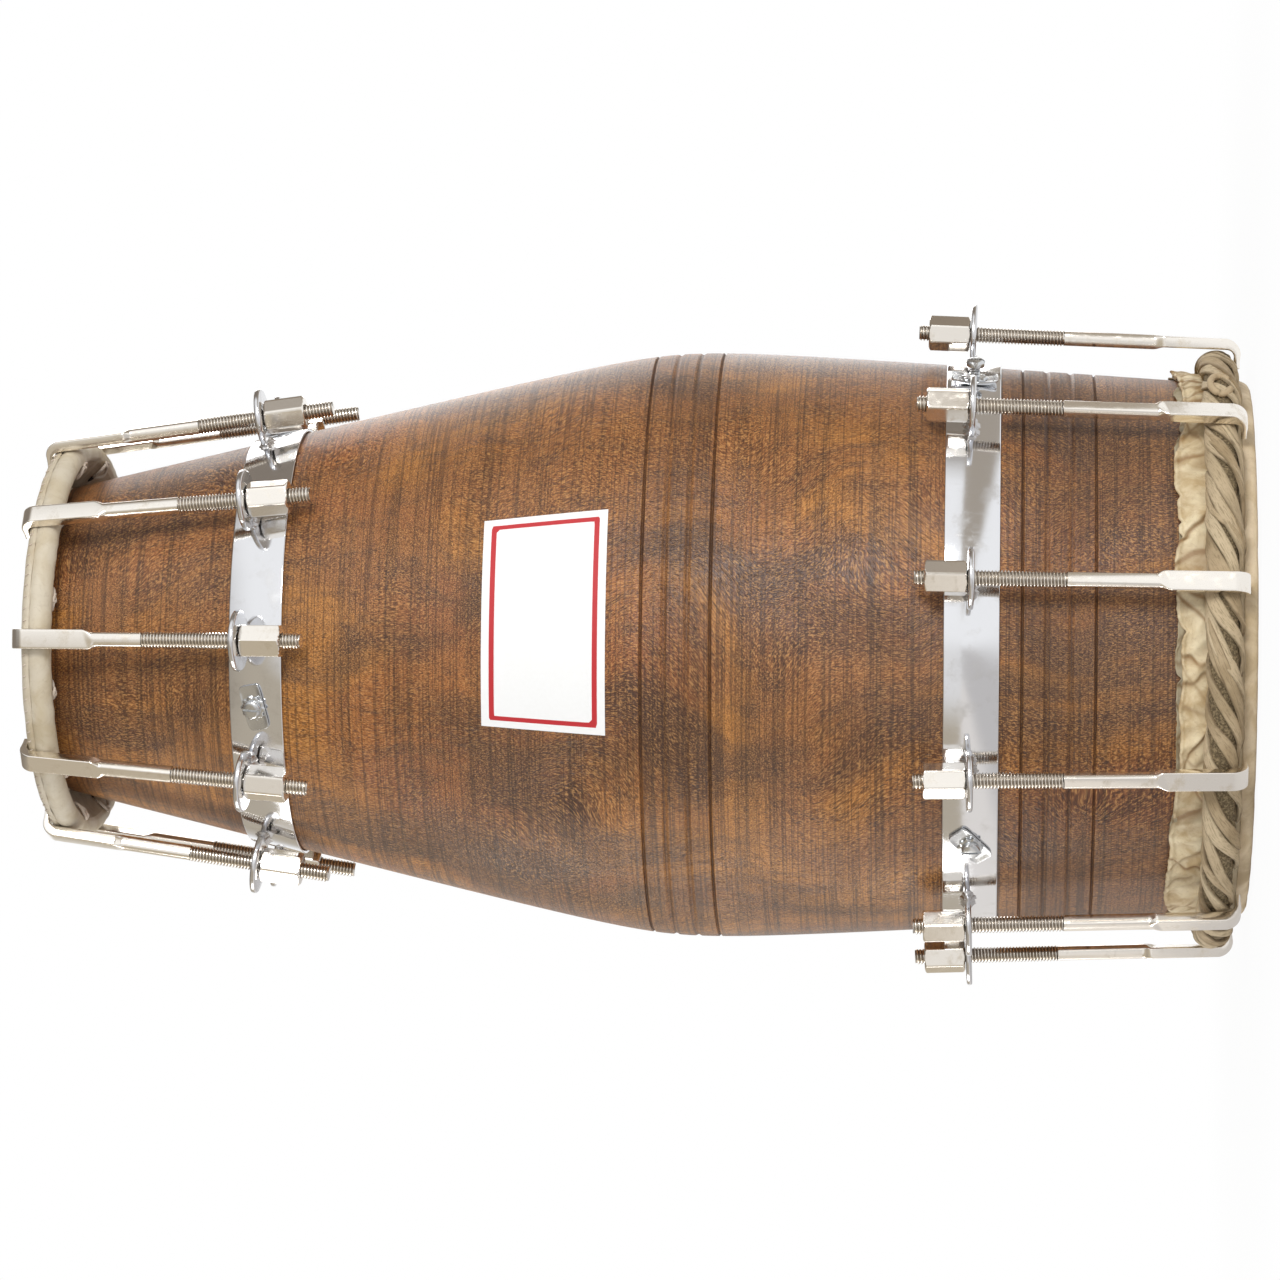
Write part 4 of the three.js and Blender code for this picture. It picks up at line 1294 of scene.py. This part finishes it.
inner_paste = Finish("inner_paste", roughness=0.75)
inner_cloud = inner_paste.noise(8 * mm, detail=4)
inner_paste.give("Base Color", inner_paste.mix(inner_cloud, srgb(58, 44, 34), srgb(84, 66, 50)))
inner_paste.bump(inner_cloud, 0.4 * mm, 0.7)
for node, material in (("inner_paste_bass", inner_paste.material), ("hoop_treble", iron.material),
                       ("hoop_bass", iron.material)):
    frame["nodes"][node].data.materials.clear()
    frame["nodes"][node].data.materials.append(material)
print("tuning spot:", len(spot.data.polygons), "faces in", paste_layers, "layers")

# %% [markdown]
# ## Bass skins
# The bass head has two skins. The outer one is only a rim: a flat cream ring whose edge was beaten round
# the corner. The playing skin runs over the shell's edge and up its side, under the braid, and ends in the
# skirt.

# %% Bass rim and playing skin
bass_rim_steps = 400
bass_rim_out = np.array([84, 93, 101.4, 102.7, 103.6, 104.3, 105.0,
                         105.5, 105.3, 104.2, 102.9, 101.2, 93, 84.3]) * mm
bass_rim_up = np.array([0.0, 0, 0, 0.3, 1.0, 2.1, 3.7,
                        5.2, 5.3, 3.7, 2.3, 1.6, 1.6, 1.5]) * mm
bass_rim_lumps = 0.1 * mm
crease_start, crease_height = 2 * mm, 4 * mm
bass_rim_depth = [0, 0] + [bass_rim_lumps] * 9 + [0] * 3
points, faces = wrinkled_ring(bass_rim_out, bass_rim_up, bass_rim_steps, bass_rim_depth, (10, 40), 11)
bass_crease = np.clip((bass_rim_up - crease_start) / crease_height, 0, 1) * 0.4
bass_crease = np.tile(bass_crease, bass_rim_steps)
points[..., 2] = np.maximum(points[..., 2], 0)
bass_rim = make_piece("bass_rim_skin", [(points, faces)], "drum", bass_rim_finish.material, sharp=60,
                      attributes={"crease": bass_crease})
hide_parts("rim_skin_bass")

skin_gap = 0.3 * mm
skin_steps = 240
wall_low, wall_high = 6 * mm, 23 * mm
wall_up = np.linspace(wall_low, wall_high, 6)
low = rim_thick + skin_gap
skin_out = np.concatenate([np.linspace(0, 101 * mm, 12), np.array([102.6, 103.9, 104.9]) * mm,
                           shell_radius(wall_up) + skin_gap + skin_thick,
                           shell_radius(wall_up[::-1]) + skin_gap,
                           np.array([103.7, 102.0, 60, 0]) * mm])
skin_up = np.concatenate([np.full(12, low), low + np.array([0.15, 1.1, 2.6]) * mm, wall_up, wall_up[::-1],
                          low + skin_thick + np.array([0.2, 0, 0, 0]) * mm])
bass_skin = make_piece("bass_skin", [turn_round(skin_out, skin_up, skin_steps)], "drum",
                       face_skin.material, sharp=60,
                       attributes={"crease": np.zeros(skin_steps * len(skin_out))})
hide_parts("skin_bass")
print("bass rim:", len(bass_rim.data.polygons), "faces, playing skin:", len(bass_skin.data.polygons))

# %% [markdown]
# ## Bass braid
# The bass hoop is bound with cloth, and a long hide strap winds round it and the skin in slanting passes.
# Each pass is a ribbon carried over the hoop: it climbs out from under the skirt, crosses the outside and
# dives to the front. The passes tip a little, so that each one lies on its neighbour, and dark wedges of
# the bound hoop show between them. In two messy stretches the straps are wider and extra ones cross them,
# and a loose loop sticks out of the first.

# %% Bound hoop and straps
hoop_level, hoop_half = 20 * mm, 5 * mm
bass_hoop = float(shell_radius(hoop_level)) + skin_gap + skin_thick + hoop_half
braid_middle = 13.1 * mm
hide = Finish("strap_hide", roughness=0.85)
nap = hide.noise(1.3 * mm, detail=5, roughness=0.75)
tone = hide.noise(14 * mm, detail=3)
strap_tone = hide.attribute("tone")
edge_dark = hide.attribute("edge")
lane = hide.node("ShaderNodeCombineXYZ", {}, {
    "X": hide.attribute("lane"), "Y": hide.attribute("run"), "Z": strap_tone})
fibre_lines = hide.noise(0.11, detail=3, roughness=0.6, vector=lane)
hide.give("Base Color", hide.layered(
    srgb(194, 172, 138),
    (tone.within(0.35, 0.7), srgb(166, 144, 110)),
    (strap_tone.within(0.3, 1.0), srgb(212, 192, 158)),
    (fibre_lines.within(0.5, 0.66) * 0.5, srgb(124, 104, 74)),
    (nap.within(0.5, 0.75) * 0.3, srgb(120, 100, 72)),
    (edge_dark * 0.6, srgb(92, 74, 50))))
hide.give("Roughness", 0.7 + 0.2 * nap)
hide.bump(fibre_lines * 1.4 + nap * 0.6 + tone * 0.5, 0.35 * mm, 0.8)

binding = Finish("hoop_binding", roughness=0.9)
knit = binding.noise(0.9 * mm, detail=2, roughness=0.7)
binding.give("Base Color", binding.mix(knit.within(0.4, 0.65), srgb(92, 78, 56), srgb(146, 128, 96)))
binding.bump(knit, 0.4 * mm, 0.9)
core_turn = once_round(24)[:, 0]
core_steps = 360
core_out, core_up, core_lumps = 4.3 * mm, 5.6 * mm, 0.25 * mm
points, faces = wrinkled_ring(bass_hoop + core_out * np.cos(core_turn),
                              braid_middle + core_up * np.sin(core_turn),
                              core_steps, np.full(len(core_turn), core_lumps), (40, 120), 21)
core = make_piece("bound_hoop", [(points, faces)], "drum", binding.material, sharp=80)
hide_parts("braid_bass")

hook_turns = np.array([station["turn"] for station in stations["bass"]])
first_roll, last_roll = 2.35, -2.2
strap_rows, strap_points = 38, 20
strap_half_thick = 0.9 * mm
strap_out, strap_wave, lane_width = 4.55 * mm, 0.25 * mm, 4 * mm
strap_behind, strap_front, strap_bulge = 5.9 * mm, 5.3 * mm, 1.7 * mm
hook_clear, hook_fade = 0.045, 0.09


def between_hooks(turn):
    """0 at each hook and 1 midway: how far the braid is free to bulge."""
    away = np.abs(np.angle(np.exp(1j * (np.asarray(turn)[..., None] - hook_turns)))).min(-1)
    return smooth((away - hook_clear) / hook_fade)


def strap_part(start_turn, swing, half_width, seed, lift=0.0):
    """A ribbon over the hoop: its line goes round the hoop's section while it goes round the drum."""
    chance = np.random.default_rng(seed)
    share = np.linspace(0, 1, strap_rows)
    roll = first_roll + (last_roll - first_roll) * share
    wander = chance.uniform(-0.035, 0.035) * np.sin(2 * np.pi * share) + 0.02 * np.sin(5 * share + seed)
    turn = start_turn - swing * share - wander
    free = between_hooks(turn)
    rise = np.where(np.sin(roll) < 0, strap_front + strap_bulge * free, strap_behind)
    out = strap_out + lift * free + strap_wave * np.sin(4 * share + chance.uniform(0, 6)) * free
    line = around_drum(turn, bass_hoop + out * np.cos(roll), braid_middle + rise * np.sin(roll))
    forward = unit(np.gradient(line, axis=0))
    side = unit(np.cross(forward, around_drum(turn, np.cos(roll), np.sin(roll))))
    over = np.cross(side, forward)
    lean = (0.1 + 0.16 * chance.uniform(-1, 1) + 0.12 * np.sin(6 * share + seed))[:, None]
    side, over = side * np.cos(lean) + over * np.sin(lean), over * np.cos(lean) - side * np.sin(lean)
    width = half_width * (0.55 + 0.45 * np.sin(np.pi * np.clip(share, 0.04, 0.96)) ** 0.6)
    width = width * (1 + 0.14 * np.sin(share * chance.uniform(5, 11) + seed))
    angle = once_round(strap_points)[None]
    across, thick = squarer(np.cos(angle), 0.75), squarer(np.sin(angle), 0.6)
    furrow = 1 - 0.3 * np.exp(-((across - 0.55 * np.sin(seed)) / 0.16) ** 2)
    points = line[:, None] + width[:, None, None] * across * side[:, None]
    points = points + strap_half_thick * thick * furrow * over[:, None]
    shape = points.shape[:2]
    lanes = np.broadcast_to(across[..., 0] * half_width / lane_width, shape) + seed
    runs = np.broadcast_to(share[:, None] * 1.6, shape)
    return points, grid_faces(*shape, ring_columns=True), {
        "edge": np.broadcast_to(np.abs(across[..., 0]) ** 9, shape), "lane": lanes, "run": runs,
        "tone": np.full(shape, chance.uniform(0, 1.0))}


passes = 56
messy_zones = ((0, 72), (120, 150))
crossing_lift = 0.5 * mm
straps = []
for index in range(passes):
    chance = np.random.default_rng(300 + index)
    begin = 2 * np.pi * (index + 0.16 * chance.uniform(-1, 1)) / passes
    crossing = np.degrees(np.angle(np.exp(1j * (begin - 0.2 + np.pi / 2))))
    messy = any(low < crossing < high for low, high in messy_zones)
    half_width = chance.uniform(2.0, 3.6) if messy else chance.uniform(1.9, 2.7)
    swing = 0.42 + (0.05 if messy else 0.02) * chance.uniform(-1, 1)
    straps.append(strap_part(begin, swing, half_width * mm, 300 + index))
    if messy and index % 2 == 0:
        straps.append(strap_part(begin + chance.uniform(-0.07, 0.07), 0.44 + chance.uniform(-0.2, 0.16),
                                 chance.uniform(1.2, 2.4) * mm, 700 + index, lift=crossing_lift))
loop_turn = np.radians(-90 + 60)
loop_round = np.linspace(-0.3 * np.pi, 1.45 * np.pi, 30)
loop_radius = 1.35 * mm
loop_out, loop_bulge, loop_rise = 5.2 * mm, 0.5 * mm, 3.9 * mm
loop_path = around_drum(loop_turn + 0.062 * np.cos(loop_round),
                        bass_hoop + loop_out + loop_bulge * np.sin(loop_round),
                        braid_middle + loop_rise * np.sin(loop_round))
strap_values = {label: np.concatenate([strap[2][label].ravel() for strap in straps])
                for label in ("edge", "lane", "run", "tone")}
braid = make_piece("strap_braid", [strap[:2] for strap in straps], "drum", hide.material, sharp=60,
                   attributes=strap_values)
knot_loop = make_piece("strap_loop", [tube_part(loop_path, loop_radius, around=10)], "drum", hide.material,
                       sharp=60)
print("braid:", len(straps), "straps,", len(braid.data.polygons), "faces")

# %% [markdown]
# ## The skirt
# Above the braid the skin ends in a skirt of stiff parchment in two layers, torn along its edge and
# crumpled where it dried. Its folds rise sharply on one side and fade on the other, with a line of painted
# shadow at the foot of each. Between them lie soft puffs, and sharp ridges made from one minus the size of
# a wave. Shade is painted into the hollows, and the sheet is darker along its top edge. The lower layer is
# painted greyer and darker as shade, and looks out under the torn edge.


# %% Skirt
def step_folds(turn, share, seed, count):
    """Folds that rise sharply on one side and fade on the other, and narrow lines at their feet, where the
    skirt paints shadow.
    """
    chance = np.random.default_rng(seed)
    folds = 0 * turn * share
    lines = 0 * turn * share
    for _ in range(count):
        bend = chance.uniform(-0.16, 0.16) * share ** chance.uniform(0.6, 2.2)
        sway = chance.uniform(0.002, 0.016)
        bend = bend + sway * np.sin(chance.uniform(4, 13) * share + chance.uniform(0, 6))
        away = turn - chance.uniform(0, 2 * np.pi) - bend
        away = np.mod(away, 2 * np.pi)
        height = chance.uniform(0.35, 1.0) * smooth((share - chance.uniform(-0.5, 0.3)) / 0.3)
        folds = folds + height * np.exp(-away / chance.uniform(0.04, 0.12)) * smooth(away / 0.01)
        near = np.minimum(away, 2 * np.pi - away)
        lines = np.maximum(lines, height * np.exp(-(near / 0.011) ** 2))
    return folds, lines


skirt_steps, skirt_rows = 1080, 34
skirt_folds, skirt_notches = 60, 12
sheet_thick, edge_slope = 0.55 * mm, 0.1 * mm
edge_waves, edge_fringe, notch_depth = 0.3 * mm, 0.1 * mm, 1.8 * mm


def skirt_part(low_edge, mean_edge, ragged, out, drop, depth, seed):
    """A sheet between two heights that stands off the shell by its folds; its top edge is a curving line."""
    turn = once_round(skirt_steps)
    share = np.linspace(0, 1, skirt_rows)[None, :]
    _, notches = step_folds(turn, 0 * turn + 1, seed + 8, skirt_notches)
    edge_line = ragged * (0.6 * ripple(turn, 0, (4, 16), seed + 5, count=8) - 0.5 * np.cos(turn))
    edge_line = edge_line + edge_waves * ripple(turn, 0, (22, 60), seed + 6, count=10)
    edge_line = edge_line + edge_fringe * ripple(turn, 0, (120, 240), seed + 7, count=8)
    edge_line = edge_line - notch_depth * notches
    height = low_edge + (mean_edge + edge_line - low_edge) * share
    folds, lines = step_folds(turn, share, seed + 9, skirt_folds)
    puffs = ripple(turn, height / mm, (7, 24), seed, count=7, tall=0.12)
    small = ripple(turn, height / mm, (26, 70), seed + 1, count=8, tall=0.25)
    sharp = 1 - np.abs(ripple(turn, height / mm, (16, 60), seed + 3, count=6, tall=0.3))
    bead = np.exp(-((share - 0.93) / 0.05) ** 2)
    stand = 0.34 * puffs + 0.18 * small + 0.7 * np.clip(folds, 0, 1.1) + 0.28 * bead
    stand = stand + 0.36 * np.clip(sharp, -0.5, 1) - 0.14
    radius = shell_radius(height) + skin_gap + out - drop * smooth((share - 0.5) / 0.4)
    radius = radius + depth * np.clip(stand, -0.3, 1.2) * (0.4 + 0.6 * share)
    outer = around_drum(turn, radius, height)
    inner = around_drum(turn, radius - sheet_thick, height - edge_slope * share)
    loop = np.concatenate([outer, inner[:, ::-1]], 1)
    # painted shade: a dark line at the foot of each fold and in the hollows, and darker along the top edge
    crease = 1.1 * lines + 0.6 * smooth((0.5 - stand) / 1.1) ** 1.5 + 0.4 * smooth((share - 0.96) / 0.04)
    crease = np.clip(np.concatenate([crease, crease[:, ::-1]], 1), 0, 1)
    return loop, grid_faces(*loop.shape[:2], ring_rows=True, ring_columns=True), crease


under_layer = {"low_edge": 24 * mm, "mean_edge": 30.2 * mm, "ragged": 2.2 * mm, "out": 0.3 * mm, "drop": 0,
               "depth": 0.6 * mm, "seed": 61}
upper_layer = {"low_edge": 16.5 * mm, "mean_edge": 29.9 * mm, "ragged": 2.4 * mm, "out": 2.15 * mm,
               "drop": 1.1 * mm, "depth": 2.2 * mm, "seed": 71}
for name, finish, sizes in (("skirt_under_layer", shaded_under_skin, under_layer),
                            ("skirt", skirt_skin, upper_layer)):
    points, faces, crease = skirt_part(**sizes)
    sheet = make_piece(name, [(points, faces)], "drum", finish.material, sharp=50,
                       attributes={"crease": crease})
print("skirt:", len(sheet.data.polygons), "faces")

# %% [markdown]
# ## Paper label
# A plain white label with a red border is glued to the belly. It follows the shell, and its edges lift by
# the thickness of the paper and the glue. The border is a formula of the distance from the label's edge.

# %% Label
label_low, label_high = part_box("label")
label_columns, label_rows = 60, 40
label_start, label_end = -90 + 27, -90 - 18
paper_top, paper_under = 0.35 * mm, 0.05 * mm
border_outside, border_inside = (2.9, 3.1), (4.9, 5.1)
label_share = np.linspace(0, 1, label_rows)[None, :]
label_turn = np.radians(np.linspace(label_start, label_end, label_columns))[:, None]
label_height = label_low.z + (label_high.z - label_low.z) * label_share + 0 * label_turn
over = around_drum(label_turn, shell_radius(label_height) + paper_top, label_height)
under = around_drum(label_turn, shell_radius(label_height) + paper_under, label_height)
loop = np.concatenate([over, under[:, ::-1]], 1)
from_side = np.minimum(label_share, 1 - label_share) * (label_high.z - label_low.z) / mm
from_end = np.abs(label_turn - label_turn[0]) * belly / mm
from_end = np.minimum(from_end, from_end[-1] - from_end)
inset = np.minimum(from_side, from_end)
closed = grid_faces(label_columns, 2 * label_rows, ring_columns=True)
caps = []
for row in (0, label_columns - 1):
    first = row * 2 * label_rows + np.arange(label_rows - 1)
    last = row * 2 * label_rows + 2 * label_rows - 1 - np.arange(label_rows - 1)
    caps.append(np.stack([first, first + 1, last - 1, last], -1))
paper = Finish("label_paper", roughness=0.55)
fibres = paper.noise(1.5 * mm, detail=4)
margin = paper.attribute("inset")
border = margin.within(*border_outside) * (1 - margin.within(*border_inside))
paper.give("Base Color", paper.layered(srgb(253, 253, 252), (fibres * 0.4, srgb(240, 239, 236)),
                                       (border, srgb(196, 44, 50))))
paper.bump(fibres, 0.05 * mm, 0.4)
label = make_piece("paper_label", [(loop, np.concatenate([closed, *caps]))], "drum", paper.material,
                   sharp=50, attributes={"inset": np.concatenate([inset, inset[:, ::-1]], 1)})
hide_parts("label")
print("label:", len(label.data.polygons), "faces")
